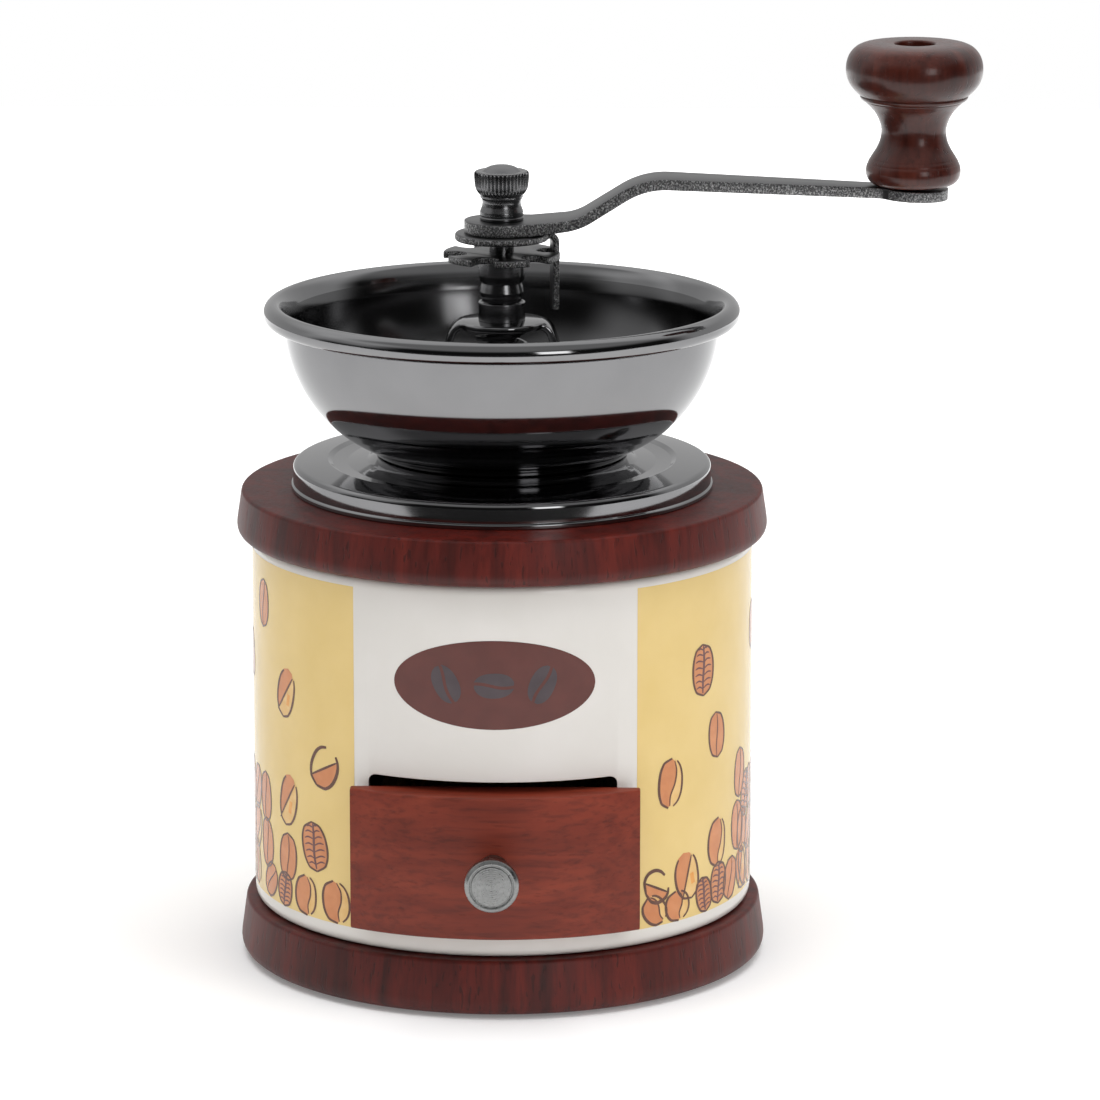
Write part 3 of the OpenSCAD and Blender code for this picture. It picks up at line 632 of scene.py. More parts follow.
class Bean:
    """A loosely drawn bean: local x across, y along, in mm, then turned and put at (s, z)."""

    def __init__(self, s, z, w, h, turn, kind):
        self.s, self.z, self.w, self.h, self.kind = s, z, w / 2, h / 2, kind
        self.turn = math.radians(turn)
        self.k1, self.k2 = RNG.uniform(-0.10, 0.10), RNG.uniform(-0.08, 0.08)

    def to(self, x, y):
        c, d = math.cos(self.turn), math.sin(self.turn)
        return (self.s + x * c - y * d, self.z + x * d + y * c)

    def edge(self, side, v):
        """x of the outline at v from -1, bottom, to 1, top."""
        body = math.sqrt(max(1 - abs(v) ** 2.3, 0.0))
        return side * self.w * body * (1 + self.k1 * v * side) + self.w * self.k2 * (1 - v * v)

    def seam(self, v):
        return self.w * (self.k2 + 0.16 * math.sin(2.4 * v + self.k1 * 8))

    def patch(self, sheet, left, right, v0=-1.0, v1=1.0, n=18, m=6, nudge=(0, 0)):
        rows = []
        for i in range(n + 1):
            v = v0 + (v1 - v0) * i / n
            a, b = left(v), right(v)
            rows.append([self.to(a + (b - a) * k / m + nudge[0],
                self.h * v + nudge[1]) for k in range(m + 1)])
        S[sheet].grid(rows)

    def line(self, sheet, pts, width, taper=0.45):
        pts = spline([self.to(*p) for p in pts], 5)
        n = len(pts)
        S[sheet].ribbon(pts, [width * (taper + (1 - taper) * math.sin(math.pi * min(max(i / (n - 1), 0.0),
            1.0)) ** 0.5)
                              for i in range(n)])

    def outline(self, side, v0, v1, width, n=12):
        self.line("ink", [(self.edge(side, v0 + (v1 - v0) * i / n),
            self.h * (v0 + (v1 - v0) * i / n)) for i in range(n + 1)],
                  width * 1.3, 0.6)

    def draw(self):
        full_l, full_r = (lambda v: self.edge(-1, v)), (lambda v: self.edge(1, v))
        seam = self.seam
        if self.kind == "split":
            self.patch("fill", full_l, full_r)
            self.outline(-1, -1, 1, 0.42)
            self.outline(1, -1, 1, 0.42)
            self.line("ink", [(seam(v), self.h * v) for v in (-0.96, -0.5, 0, 0.5, 0.92)], 0.36)
        elif self.kind == "vein":
            self.patch("fill", full_l, full_r, nudge=(0.15, 0.1))
            self.outline(-1, -1, 1, 0.45)
            self.outline(1, -1, 1, 0.45)
            self.line("violet", [(seam(v) * 0.6, self.h * v) for v in (-0.9, -0.4, 0.1, 0.5, 0.95)], 0.7)
            for v in (-0.72, -0.48, -0.22, 0.04, 0.3, 0.55, 0.76):
                for side in (-1, 1):
                    e = self.edge(side, min(v + 0.12, 0.95)) * 0.80
                    self.line("violet", [(seam(v) * 0.6, self.h * v), (e * 0.55, self.h * (v + 0.10)), (e,
                        self.h * (v + 0.06))],
                              0.34, 0.3)
        elif self.kind == "lit":
            diag = lambda v: self.w * (0.85 * v - 0.05)
            self.patch("fill", full_l, lambda v: max(min(diag(v), full_r(v)), full_l(v)), nudge=(-0.15, 0.15))
            self.patch("light", lambda v: min(max(diag(v), full_l(v)), full_r(v)), full_r, v0=-1.0, v1=0.86,
                nudge=(0.1, 0))
            self.patch("smear", lambda v: self.w * 0.18, lambda v: self.w * 0.52, v0=-0.45, v1=0.02, m=3)
            self.outline(-1, -1, 0.86, 0.48)
            self.outline(1, -1, 0.72, 0.48)
            self.line("ink", [(diag(v), self.h * v) for v in (-0.86, -0.4, 0.1, 0.5, 0.76)], 0.5)
        elif self.kind == "curl":
            diag = lambda v: self.w * (0.9 * v + 0.05)
            self.patch("fill", lambda v: min(max(diag(v), full_l(v)), full_r(v)), full_r, nudge=(0.1, -0.1))
            self.outline(1, -1, 0.9, 0.6)
            self.outline(-1, -1, 0.94, 0.6)
            self.line("ink", [(diag(v), self.h * v) for v in (-0.8, -0.3, 0.2, 0.7)], 0.5)
        else:
            fold = lambda v: self.w * (0.30 + 0.22 * math.sin(3.1 * v + 0.6))
            self.patch("fill", full_l, lambda v: min(fold(v), full_r(v)))
            self.patch("light", lambda v: min(fold(v), full_r(v)), full_r, v0=-0.95, v1=0.95)
            self.outline(-1, -1, 1, 0.5)
            self.outline(1, -0.93, 0.9, 0.42)
            self.line("ink", [(fold(v), self.h * v) for v in (-0.92, -0.5, 0, 0.5, 0.9)], 0.4)


def scatter(side):
    """Loose beans falling on to a pile at the foot of one panel, thicker towards its middle."""
    mid = (PANEL0 + PANEL1) / 2
    if side < 0:
        loose = [(61.5, 77, 5.0, 9.6, -4, "split"), (50.5, 60.6, 5.4, 10.0, -12, "lit"),
            (38.0, 47.6, 6.2, 8.6, -28, "curl"),
                 (61.0, 36.6, 5.4, 10.0, 2, "split"), (50.0, 38.4, 5.4, 10.4, -10, "lit"),
                 (41.0, 30.6, 6.4, 9.8, 10, "vein"),
                 (74.0, 64.0, 5.4, 9.8, 16, "split"), (88.0, 72.0, 5.2, 9.6, -14, "vein"),
                 (92.0, 50.0, 5.4, 9.6, 6, "lit"),
                 (106.0, 62.0, 5.4, 9.8, 20, "curl"), (118.0, 76.0, 5.2, 9.6, -8, "split"),
                 (122.0, 46.0, 5.4, 9.8, 14, "split")]
        pile = [(50.3, 26.4, 5.6, 9.6, 0, "split"), (60.5, 27.0, 5.6, 10.0, 4, "split"),
            (43.8, 19.9, 5.8, 8.0, 6, "fold"),
                (35.0, 20.2, 6.2, 8.4, 8, "fold"), (51.5, 19.4, 4.8, 7.0, -4, "vein"),
                (58.5, 19.8, 5.0, 7.4, -38, "split")]
    else:
        loose = [(47.9, 66.4, 5.8, 10.2, -2, "vein"), (53.0, 52.0, 5.0, 9.2, -5, "split"),
            (38.2, 44.8, 5.4, 9.8, 6, "fold"),
                 (64.5, 41.4, 5.4, 10.0, 2, "split"), (76.0, 70.0, 5.4, 9.8, 8, "split"),
                 (88.0, 56.0, 5.2, 9.6, -16, "lit"),
                 (97.0, 76.0, 5.4, 9.6, 12, "vein"), (104.0, 48.0, 5.4, 9.6, -6, "curl"),
                 (118.0, 64.0, 5.4, 9.8, 14, "split")]
        pile = [(53.6, 29.4, 5.6, 9.8, 4, "fold"), (43.4, 24.6, 5.8, 9.6, -14, "lit"),
            (34.8, 23.8, 6.0, 5.6, 68, "curl"),
                (40.3, 18.8, 5.6, 6.0, -8, "fold"), (34.4, 18.8, 4.6, 6.4, -36, "fold"),
                (48.6, 19.4, 4.4, 7.2, -12, "vein"),
                (54.0, 20.8, 5.2, 8.4, 0, "vein"), (63.2, 30.6, 5.4, 10.2, -4, "split"),
                (59.6, 20.4, 5.2, 8.6, 12, "split"),
                (66.0, 21.0, 5.4, 8.8, -10, "lit")]
    s = 68.0
    while s < PANEL1 - 4:
        tall = 1.0 - abs(s - mid) / (PANEL1 - mid) * 0.6
        for level in range(3 if tall > 0.7 else 2):
            kind = RNG.choice(["split", "vein", "lit", "fold", "split"])
            pile.append((s + RNG.uniform(-1.4, 1.4), 20.2 + level * 8.2 + RNG.uniform(-0.8, 1.2), 5.6, 9.4,
                RNG.uniform(-30, 30), kind))
        s += 6.0
    for s0, z0, w, h, turn, kind in loose + pile:
        if z0 - h / 2 < PANEL_LOW + 0.2:
            z0 = PANEL_LOW + 0.2 + h / 2
        Bean(side * s0, z0, w * 1.16, h * 1.04, -side * turn if side > 0 else turn, kind).draw()


scatter(-1)
scatter(1)

BADGE_Z = deck + 56.2
for centre in (0.0, math.pi * R):
    oval_grid(S["badge"], centre, BADGE_Z, 20.45, 9.05)
    for ds, turn in ((-9.6, 24), (0.0, 90), (9.6, -24)):
        b = Bean(centre + ds, BADGE_Z, 5.2, 8.2, turn, "split")
        for side in (-1, 1):
            inner = (lambda v, b=b, side=side: b.seam(v) + side * 0.32)
            outer = (lambda v, b=b, side=side: b.edge(side, v) * 0.98)
            lo_edge, hi_edge = (outer, inner) if side < 0 else (inner, outer)
            b.patch("badge_ink", lambda v: min(lo_edge(v), hi_edge(v)),
                lambda v: max(lo_edge(v), hi_edge(v)), v0=-0.97, v1=0.97)
for sheet in S.values():
    sheet.build()

# ---------------------------------------------------------------- flange plate
FR = 42.7
plate = fillet([
    (FR - 1.2, crown), (FR + 0.4, crown, 0.3), (FR + 0.4, crown + 0.9, 0.4), (FR, crown + 1.2, 0.1),
    (FR, crown + 5.1, 1.3),
    (35.6, crown + 5.85, 0.5), (34.6, crown + 5.3, 0.5), (31.5, crown + 5.15, 3.0), (27.4, crown + 5.6, 2.0),
    (25.6, crown + 6.7, 0.8), (17, crown + 6.7, 0.3), (17, crown + 5.5, 0.3),
    (25.2, crown + 5.5), (27.5, crown + 4.5), (34.6, crown + 4.1), (FR - 1.4, crown + 3.8, 0.8)], 8)
stand_for(lathe("flange_plate_spun", plate, M["nickel"], 288, angle=50), "housing", "flange_plate")

# ---------------------------------------------------------------- bowl
base_z = low("hopper_bowl")
top = high("hopper_bowl")
BR = high("hopper_bowl", 0)
SHEET, BEAD = 1.2, 2.2
OVAL_R, OVAL_Z, OVAL_A, OVAL_B = 18.0, base_z + 29.1, 26.4, 29.1
bead_r, bead_z = BR - BEAD, top - BEAD


def oval_at(a, b, degrees):
    return (OVAL_R + a * math.cos(math.radians(degrees)), OVAL_Z + b * math.sin(math.radians(degrees)))


wall_end = -math.degrees(math.asin((OVAL_Z - bead_z + 1.9) / OVAL_B))
wall_out = [oval_at(OVAL_A, OVAL_B, -70 + (wall_end + 70) * k / 40) for k in range(41)]
wall_in = [oval_at(OVAL_A - SHEET, OVAL_B - SHEET, wall_end + (-70 - wall_end) * k / 40) for k in range(41)]
floor_out = fillet([(17.0, base_z), (25.4, base_z, 3.0), wall_out[0]], 6, closed=False)[:-1]
floor_in = fillet([wall_in[-1], (25.4, base_z + SHEET, 3.0), (17.0, base_z + SHEET)], 6, closed=False)[1:]
lip = spline([(bead_r, top), (BR - 2.8, top - 0.12), (BR - 3.5, top - 0.65), (BR - 4.2, top - 1.8),
    (BR - 4.75, top - 3.2)], 6)[1:]
bowl = floor_out + wall_out + arc(bead_r, bead_z, BEAD, -140, 90, 32) + lip + wall_in[1:] + floor_in
pressed = lathe("hopper_bowl_pressed", bowl, M["nickel"], 320, angle=50)
# The bowl's inner wall and floor take the darker copy of the nickel: painted shade inside the bowl.
shear_edges(pressed, lambda n, c: n.x * c.x + n.y * c.y < -6 and c.z < top - 3 or n.z > 0.9 and c.z < base_z + 3, "inside")
stand_for(pressed, "housing", "hopper_bowl")

# ---------------------------------------------------------------- bridge and bush
span_top = high("bridge")
foot_z = low("bridge") + 0.75
BOSS_R, ARM_HALF = 9.0, 4.1
lean = 18.4
cx, cz = 7.5, span_top - 3.5
right = [(x, z) for x, z in arc(cx, cz, 2.75, 90, lean, 8)]
bend_x, bend_z = right[-1]
knee = bend_x + (bend_z - foot_z) * math.tan(math.radians(lean))
right += fillet([(bend_x, bend_z), (knee, foot_z, 2.0), (24.5, foot_z)], 6, closed=False)[1:]
right = [(0.0, right[0][1])] + right
dense = []
for p, q in zip(right, right[1:]):
    steps = max(1, int((Vector(q) - Vector(p)).length / 0.6))
    dense += [tuple(Vector(p).lerp(Vector(q), k / steps)) for k in range(steps)]
dense.append(right[-1])
path = [(-x, z) for x, z in reversed(dense[1:])] + dense


def bridge_half(i, x, z):
    """Half depth of the strap: a round boss between straight arms with eased tips."""
    return max(math.sqrt(max(BOSS_R ** 2 - x * x, 0.0)), ARM_HALF - (0.6 if abs(x) > 24 else 0))


stand_for(strap("bridge_strap", path, bridge_half,
                1.5, M["nickel"], 0.5), "housing", "bridge")

bush_low, bush_high = low("bridge_bush"), high("bridge_bush")
stand_for(lathe("bridge_bush_turned", fillet([
    (3.06, bush_low), (4.0, bush_low, 0.3), (4.0, span_top, 0.05), (4.78, span_top, 0.15),
    (4.78, bush_high, 0.3),
    (4.3, bush_high, 0.1), (4.2, bush_high - 0.25, 0.1), (3.06, bush_high - 0.25, 0.1)], 4), M["turned"],
    160),
    "housing", "bridge_bush")

# ---------------------------------------------------------------- star nut
sn = low("star_nut")
st = high("star_nut")
hub = lathe("star_nut_cut", fillet([
    (2.56, sn), (4.06, sn, 0.1), (4.06, sn + 0.7, 0.15), (4.45, sn + 1.25, 0.3), (4.5, sn + 2.0, 0.4),
    (4.28, sn + 3.1, 0.6),
    (4.08, sn + 3.85, 0.1), (4.5, sn + 4.2, 0.2), (4.68, sn + 5.4, 0.5), (4.68, sn + 8.8),
    (2.56, sn + 8.8)], 4),
    M["turned"], 128)


def star_outline(outer_r, root_r, width, turn, count=6):
    """Plate with round-bottomed notches; every lobe's corners are eased."""
    pts = []
    half = width / 2
    for i in range(count):
        mid = math.radians(turn + 360 * i / count)
        nxt = math.radians(turn + 360 * (i + 1) / count)
        edge = math.asin(half / outer_r)
        u, v = Vector((math.cos(mid), math.sin(mid))), Vector((-math.sin(mid), math.cos(mid)))
        centre = u * (root_r + half)
        raw = [centre + (u * math.cos(a) + v * math.sin(a)) * half
               for a in [math.radians(-90 - 180 * k / 10) for k in range(11)]]
        pts += [tuple(p) for p in raw]
        lobe = [(outer_r * math.cos(a), outer_r * math.sin(a))
                for a in [mid + edge + (nxt - mid - 2 * edge) * k / 8 for k in range(9)]]
        pts += [(*lobe[0], 0.9)] + lobe[1:-1] + [(*lobe[-1], 0.9)]
    return fillet(pts, 4)


star = prism("star_plate", star_outline(11.86, 7.2, 4.8, 13.0), st - 1.4, st, M["crank"], 0.22)
shear_edges(star, lambda n, c: abs(n.z) < 0.4)
join(hub, star)
stand_for(hub, "rotor", "star_nut")

# ---------------------------------------------------------------- index plate and tongue
il, ih = low("crank_arm") - 1.5, low("crank_arm")
disc = lathe("index_plate_pressed", fillet([
    (2.6, il, 0.05), (9.5, il, 0.5), (9.5, ih, 0.6), (2.6, ih, 0.05)], 5), M["crank"], 160)
tip = low("index_plate")
shear_edges(disc, lambda n, c: abs(n.z) < 0.4 and math.hypot(c.x, c.y) > 5)
tongue_path = [(7.4, il + 0.7), (8.6, il + 0.7), (9.2, il + 0.7)] + arc(9.35, ih - 2.2, 1.5, 88, 0, 8)
TONGUE_X = 10.95
tongue_path += [(TONGUE_X, z) for z in [ih - 3.2 - 0.9 * k for k in range(int((ih - 3.2 - tip) / 0.9) + 1)]] + [(TONGUE_X, tip)]
tongue_path = [(x + (0.1 if z > ih - 2.3 else 0.0), z) for x, z in tongue_path]
tongue = strap("tongue", tongue_path, lambda i, x, z: 2.1 if z > tip + 0.6 else 1.8, 1.25, M["crank"], 0.3)
shear_edges(tongue, lambda n, c: abs(n.y) > 0.6)
place(tongue, Matrix.Rotation(math.radians(13.0), 4, "Z"))
join(disc, tongue)
stand_for(disc, "spindle", "index_plate")

# ---------------------------------------------------------------- crank
REACH, DROOP, SLOPE, LEAD = 83.1, math.radians(2.4), math.radians(32), math.radians(5.5)
BEND_LOW, BEND_HIGH, RISE, EYE_R, END_R = 12, 16, 4.325, 7.6, 7.1
flat = ih + 1.15
lx = 12.54
lz = flat + (lx - 4) * math.tan(LEAD) + 0.15
ex = lx + BEND_LOW * (math.sin(SLOPE) - math.sin(LEAD))
ez = lz + BEND_LOW * (math.cos(LEAD) - math.cos(SLOPE))
hx, hz = ex + RISE / math.tan(SLOPE), ez + RISE
tx = hx + BEND_HIGH * (math.sin(SLOPE) + math.sin(DROOP))
tz = hz + BEND_HIGH * (math.cos(DROOP) - math.cos(SLOPE))
knob_z = tz - (REACH - tx) * math.tan(DROOP)
raw = [(-7.55, ih + 1.3), (2.0, ih + 1.3), (6.0, ih + 1.33)]
raw += arc(lx - BEND_LOW * math.sin(LEAD), lz + BEND_LOW * math.cos(LEAD), BEND_LOW,
    math.degrees(LEAD) - 90, math.degrees(SLOPE) - 90, 10)
raw += arc(hx + BEND_HIGH * math.sin(SLOPE), hz - BEND_HIGH * math.cos(SLOPE), BEND_HIGH,
    math.degrees(SLOPE) + 90, 90 - math.degrees(DROOP), 14)
raw += [(REACH + 7.05, tz - (REACH + 7.05 - tx) * math.tan(DROOP))]
line = []
for p, q in zip(raw, raw[1:]):
    steps = max(1, int((Vector(q) - Vector(p)).length / 0.55))
    line += [tuple(Vector(p).lerp(Vector(q), k / steps)) for k in range(steps)]
line.append(raw[-1])


def smooth_max(a, b, k):
    return math.log(math.exp(a * k) + math.exp(b * k)) / k


def crank_half(i, x, z):
    eye = math.sqrt(max(EYE_R ** 2 - x * x, 0.0)) if x < EYE_R else 0.0
    end = math.sqrt(max(END_R ** 2 - (x - REACH) ** 2, 0.0)) if abs(x - REACH) < END_R else 0.0
    taper = 6.6 + (3.35 - 6.6) * (x - 4) / (REACH - 4)
    if x < 2:
        return max(eye, 0.02)
    if x > REACH:
        return max(end, 0.02)
    return smooth_max(smooth_max(eye, taper, 3.0) if x < 20 else taper, end if x > 60 else 0.0, 3.0)


thick = [2.6 - 0.4 * min(max((x - 6) / 8.0, 0.0), 1.0) for x, z in line]
crank = strap("crank_strip", line, crank_half, thick, M["crank"], 0.3)
shear_edges(crank, lambda n, c: abs(n.y) > 0.7 or (abs(n.z) < 0.5 and not 4 < c.x < REACH))
stand_for(crank, "spindle", "crank_arm")

# ---------------------------------------------------------------- thumb nut
nb = low("thumb_nut")


def knurl(r, z, a):
    band = (z - nb - 5.35) / 4.6
    if r < 4.5 or band <= 0 or band >= 1:
        return r
    depth = 0.46 * min(band * 6, 1.0, (1 - band) * 14)
    return r - depth * abs(math.sin(20 * a)) ** 0.8


nut_profile = fillet([
    (0, nb + 9), (2.06, nb + 9), (2.06, nb), (4.42, nb, 0.2), (4.45, nb + 0.5, 0.1), (4.32, nb + 0.75, 0.1),
    (4.45, nb + 1.1, 0.2),
    (4.4, nb + 1.7, 0.5), (4.0, nb + 2.8, 1.5), (3.92, nb + 3.6, 1.0), (4.05, nb + 4.2, 0.3),
    (4.35, nb + 4.6, 0.15),
    (4.35, nb + 4.9, 0.1)], 4)[:-1]
nut_profile += [(4.35, nb + 5.0), (4.62, nb + 5.35), (4.92, nb + 5.75), (5.24, nb + 6.3), (5.4, nb + 6.95),
    (5.5, nb + 7.9), (5.56, nb + 8.6),
                (5.56, nb + 9.3), (5.5, nb + 9.65), (5.34, nb + 9.85), (5.0, nb + 9.95), (4.5, nb + 9.98),
                (4.1, nb + 9.95)]
nut_profile += [(3.95, nb + 9.97), (3.85, nb + 10.02), (3.6, nb + 10.2), (3.1, nb + 10.55),
    (2.5, nb + 10.83), (1.8, nb + 11.02),
                (1.0, nb + 11.14), (0, nb + 11.18)]
nut = lathe("thumb_nut_knurled", nut_profile, M["turned"], 560, closed=True, wobble=knurl, angle=50)
shear_edges(nut, lambda n, c: c.z > nb + 5.3 and math.hypot(c.x, c.y) > 4.45, "knurl")
stand_for(nut, "cap_nut", "thumb_nut")

# ---------------------------------------------------------------- knob
kb = knob_z + 1.25 + 7 * math.tan(DROOP)
foot_bulge = spline([(7.0, 0.0), (8.0, 0.25), (8.85, 0.85), (9.4, 1.75), (9.58, 2.8), (9.45, 3.8),
    (9.25, 4.35)], 5)
foot_step = [(9.16, 4.45), (9.14, 4.6), (9.02, 4.9), (8.84, 5.25), (8.66, 5.45)]
neck = spline([(8.62, 5.6), (8.25, 6.2), (7.5, 7.4), (6.87, 8.8), (6.57, 10.2), (6.58, 11.6), (7.0, 13.1),
    (7.65, 14.4), (8.55, 15.65),
               (9.5, 16.6), (9.85, 16.92)], 6)
collar = [(9.86, 17.06), (10.02, 17.12), (10.35, 17.25), (10.68, 17.5), (10.86, 17.8), (10.88, 18.02),
    (10.78, 18.14), (10.86, 18.26)]
cap = spline([(11.15, 18.42), (11.6, 18.85), (12.5, 19.8), (13.25, 20.9), (13.68, 22.2), (13.8, 23.7),
    (13.6, 25.2), (13.0, 26.6),
              (11.9, 27.8), (10.6, 28.45), (9.3, 28.7)], 6)
hole = fillet([(9.3, 28.7), (4.1, 28.72, 0.5), (4.1, 21.5), (2.53, 21.5)], 5, closed=False)[1:]
knob = lathe("crank_knob_turned", [(r, z + kb) for r,
    z in foot_bulge + foot_step + neck + collar + cap + hole + [(2.53, 0.0)]],
             M["knob"], 192, angle=48)
place(knob, Matrix.Translation((REACH * MM, 0, 0)))
stand_for(knob, "knob", "crank_knob")

# ---------------------------------------------------------------- drawer front and pull
face_r = -low("drawer_front", 1)
back = -high("drawer_front", 1)
half = high("drawer_front", 0)
d0, d1 = low("drawer_front"), high("drawer_front")
span = math.degrees(math.asin(half / face_r))
outline = [(-half, -back), (half, -back)] + [(face_r * math.sin(math.radians(a)),
    -face_r * math.cos(math.radians(a)))
                                              for a in [span - 2 * span * k / 48 for k in range(49)]]
front = prism("drawer_front_plank", outline, d0, d1, M["front"], 0.45, 3)
stand_for(front, "drawer", "drawer_front")

pz = (low("drawer_pull") + high("drawer_pull")) / 2
pull = lathe("drawer_pull_turned", fillet([
    (2.06, 0), (3.1, 0, 0.15), (3.1, 0.4, 0.1), (2.9, 0.9, 0.3), (2.9, 5.0, 1.0), (3.6, 7.6, 1.0),
    (4.9, 9.7, 0.5), (5.35, 10.4, 0.3),
    (5.35, 12.0, 0.35), (4.75, 12.6, 0.25), (4.45, 12.6, 0.1), (4.3, 12.4, 0.1), (4.1, 12.4, 0.1),
    (3.95, 12.6, 0.1), (0, 12.6)], 4)
    + [(0, 8), (2.06, 8)], M["pull"], 160)
place(pull, Matrix.Translation((0, -face_r * MM, pz * MM)) @ Matrix.Rotation(math.pi / 2, 4, "X"))
stand_for(pull, "drawer", "drawer_pull")

# ---------------------------------------------------------------- floor, light and camera
bm = bmesh.new()
bmesh.ops.create_grid(bm, x_segments=8, y_segments=8, size=1.15)
ground_mesh = bpy.data.meshes.new("ground")
bm.to_mesh(ground_mesh)
bm.free()
ground = bpy.data.objects.new("ground", ground_mesh)
bpy.context.scene.collection.objects.link(ground)
pale = Look("pale_floor", rough=0.75)
pale.colour(pale.ramp(pale.noise(3.0), [(0.3, (0.86, 0.86, 0.86, 1)), (0.7, (0.88, 0.88, 0.88, 1))]))
apart = pale.node("ShaderNodeSeparateXYZ")
pale.link(pale.coord, apart.inputs[0])
glow = pale.node("ShaderNodeMapRange", interpolation_type="SMOOTHSTEP")
glow.inputs["From Min"].default_value, glow.inputs["From Max"].default_value = 0.15, 0.9
glow.inputs["To Min"].default_value, glow.inputs["To Max"].default_value = 0.16, 0.8
pale.link(apart.outputs["Y"], glow.inputs["Value"])
pale.bsdf.inputs["Emission Color"].default_value = (1, 1, 1, 1)
pale.link(glow.outputs[0], pale.bsdf.inputs["Emission Strength"])
ground_mesh.materials.append(pale.mat)


def softbox(name, at, size, power, target=(0, 0, 0.1)):
    data = bpy.data.lights.new(name, "AREA")
    data.shape = "RECTANGLE"
    data.size, data.size_y = size
    data.energy = power
    lamp = bpy.data.objects.new(name, data)
    lamp.location = at
    lamp.rotation_euler = (Vector(target) - Vector(at)).to_track_quat("-Z", "Y").to_euler()
    bpy.context.scene.collection.objects.link(lamp)
    return lamp


for lamp in (softbox("top_light", (0.05, -0.15, 1.7), (1.8, 1.4), 26.5),
    softbox("right_light", (1.5, -1.1, 0.9), (0.9, 1.2), 10),
             softbox("left_light", (-1.6, -0.9, 0.7), (0.8, 1.2), 3.2)):
    lamp.visible_glossy = False

# A dark sheet lying in front, seen only in reflections, paints a dark reflection into the metal: there it
# ends the pale floor as the edge of a table would
flag_mesh = bpy.data.meshes.new("reflection_dark_sheet")
flag_mesh.from_pydata([(-1.5, -1.6, 0.001), (1.5, -1.6, 0.001), (1.5, -0.42, 0.001), (-1.5, -0.42, 0.001)],
    [], [(0, 1, 2, 3)])
flag = bpy.data.objects.new("reflection_dark_sheet", flag_mesh)
bpy.context.scene.collection.objects.link(flag)
dark_reflection_look = Look("reflection_dark_sheet", rough=0.9)
dark_reflection_look.colour(dark_reflection_look.ramp(dark_reflection_look.noise(5.0), [(0.3, (0.012, 0.012, 0.012, 1)), (0.7, (0.016, 0.016, 0.016, 1))]))
flag_mesh.materials.append(dark_reflection_look.mat)
flag.visible_camera = flag.visible_diffuse = flag.visible_shadow = flag.visible_transmission = False

world = bpy.data.worlds.new("studio")
bpy.context.scene.world = world
world.use_nodes = True
wt = world.node_tree
wt.nodes.clear()


def wnode(kind, **values):
    made = wt.nodes.new(kind)
    for key, value in values.items():
        setattr(made, key, value)
    return made


def wmath(op, a, b=0.0):
    made = wnode("ShaderNodeMath", operation=op)
    for value, socket in ((a, made.inputs[0]), (b, made.inputs[1])):
        if hasattr(value, "node"):
            wt.links.new(value, socket)
        else:
            socket.default_value = value
    return made.outputs[0]


def ease(value, a, b, to=1.0):
    made = wnode("ShaderNodeMapRange", interpolation_type="SMOOTHSTEP")
    made.inputs["From Min"].default_value, made.inputs["From Max"].default_value = a, b
    made.inputs["To Max"].default_value = to
    wt.links.new(value, made.inputs["Value"])
    return made.outputs[0]


wcoord = wnode("ShaderNodeTexCoord")
wsplit = wnode("ShaderNodeSeparateXYZ")
wt.links.new(wcoord.outputs["Generated"], wsplit.inputs[0])
WX, WY, WZ = wsplit.outputs


def window(azimuth, elevation, half_w, half_h, soft, power):
    """A soft-edged bright rectangle among the reflections; azimuth is measured from -Y towards +X."""
    a, e = math.radians(azimuth), math.radians(elevation)
    ahead = (math.sin(a) * math.cos(e), -math.cos(a) * math.cos(e), math.sin(e))
    right_axis = (math.cos(a), math.sin(a), 0.0)
    up_axis = (-math.sin(a) * math.sin(e), math.cos(a) * math.sin(e), math.cos(e))
    dots = []
    for axis in (ahead, right_axis, up_axis):
        dots.append(wmath("ADD", wmath("ADD", wmath("MULTIPLY", WX, axis[0]), wmath("MULTIPLY", WY, axis[1])),
                          wmath("MULTIPLY", WZ, axis[2])))
    inside = ease(dots[0], 0.0, 0.05)
    for dot, half in ((dots[1], half_w), (dots[2], half_h)):
        inside = wmath("MULTIPLY", inside, ease(wmath("ABSOLUTE", dot), half + soft, half - soft))
    return wmath("MULTIPLY", inside, power)


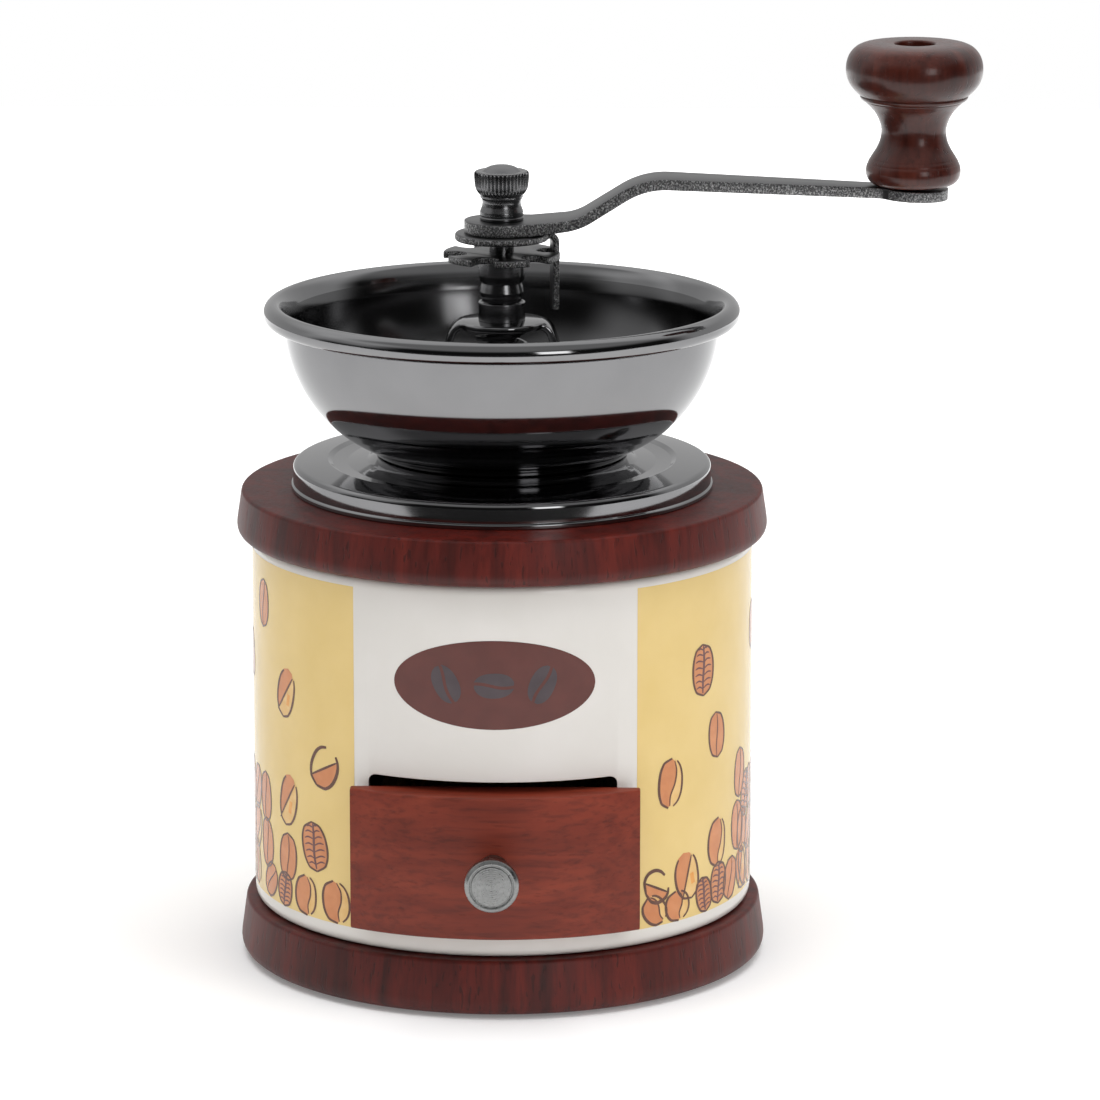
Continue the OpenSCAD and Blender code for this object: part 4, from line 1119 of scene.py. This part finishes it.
mirror = wmath("ADD", ease(WY, -0.05, 0.30, 0.54), 0.015)
for glow in (ease(WZ, 0.34, 0.70, 0.36), window(27, 14, 0.13, 0.20, 0.03, 3.2),
    window(-80, 25, 0.35, 0.30, 0.2, 0.5)):
    mirror = wmath("ADD", mirror, glow)
wpath = wnode("ShaderNodeLightPath")
glossy = wnode("ShaderNodeBackground")
wt.links.new(mirror, glossy.inputs["Color"])
fill = wnode("ShaderNodeBackground")
wt.links.new(ease(WZ, -0.4, 1.0, 0.54), fill.inputs["Color"])
seen = wnode("ShaderNodeBackground")
seen.inputs["Color"].default_value = (1.0, 1.0, 1.0, 1)
first = wnode("ShaderNodeMixShader")
wt.links.new(wpath.outputs["Is Glossy Ray"], first.inputs[0])
wt.links.new(fill.outputs[0], first.inputs[1])
wt.links.new(glossy.outputs[0], first.inputs[2])
second = wnode("ShaderNodeMixShader")
wt.links.new(wpath.outputs["Is Camera Ray"], second.inputs[0])
wt.links.new(first.outputs[0], second.inputs[1])
wt.links.new(seen.outputs[0], second.inputs[2])
wout = wnode("ShaderNodeOutputWorld")
wt.links.new(second.outputs[0], wout.inputs[0])

SCENE = bpy.context.scene
SCENE.view_settings.view_transform = "Standard"
SCENE.view_settings.look = "None"

FRAME_PX, FOCAL_PX = 1100.0, 6002.8
DISTANCE, EYE, PITCH, YAW, TURN = 1.2, 0.358, math.radians(12.865), 0.0077, math.radians(1.85)
cam_data = bpy.data.cameras.new("camera")
cam_data.sensor_width = 36.0
cam_data.lens = 36.0 * FOCAL_PX / FRAME_PX
cam_data.clip_start, cam_data.clip_end = 0.05, 60.0
camera = bpy.data.objects.new("camera", cam_data)
SCENE.collection.objects.link(camera)
turn = Matrix.Rotation(TURN, 3, "Z")
eye = turn @ Vector((0.00055, -DISTANCE, EYE))
aim = turn @ Vector((math.sin(YAW) * math.cos(PITCH), math.cos(YAW) * math.cos(PITCH), -math.sin(PITCH)))
camera.location = eye
camera.rotation_euler = aim.to_track_quat("-Z", "Y").to_euler()
SCENE.camera = camera
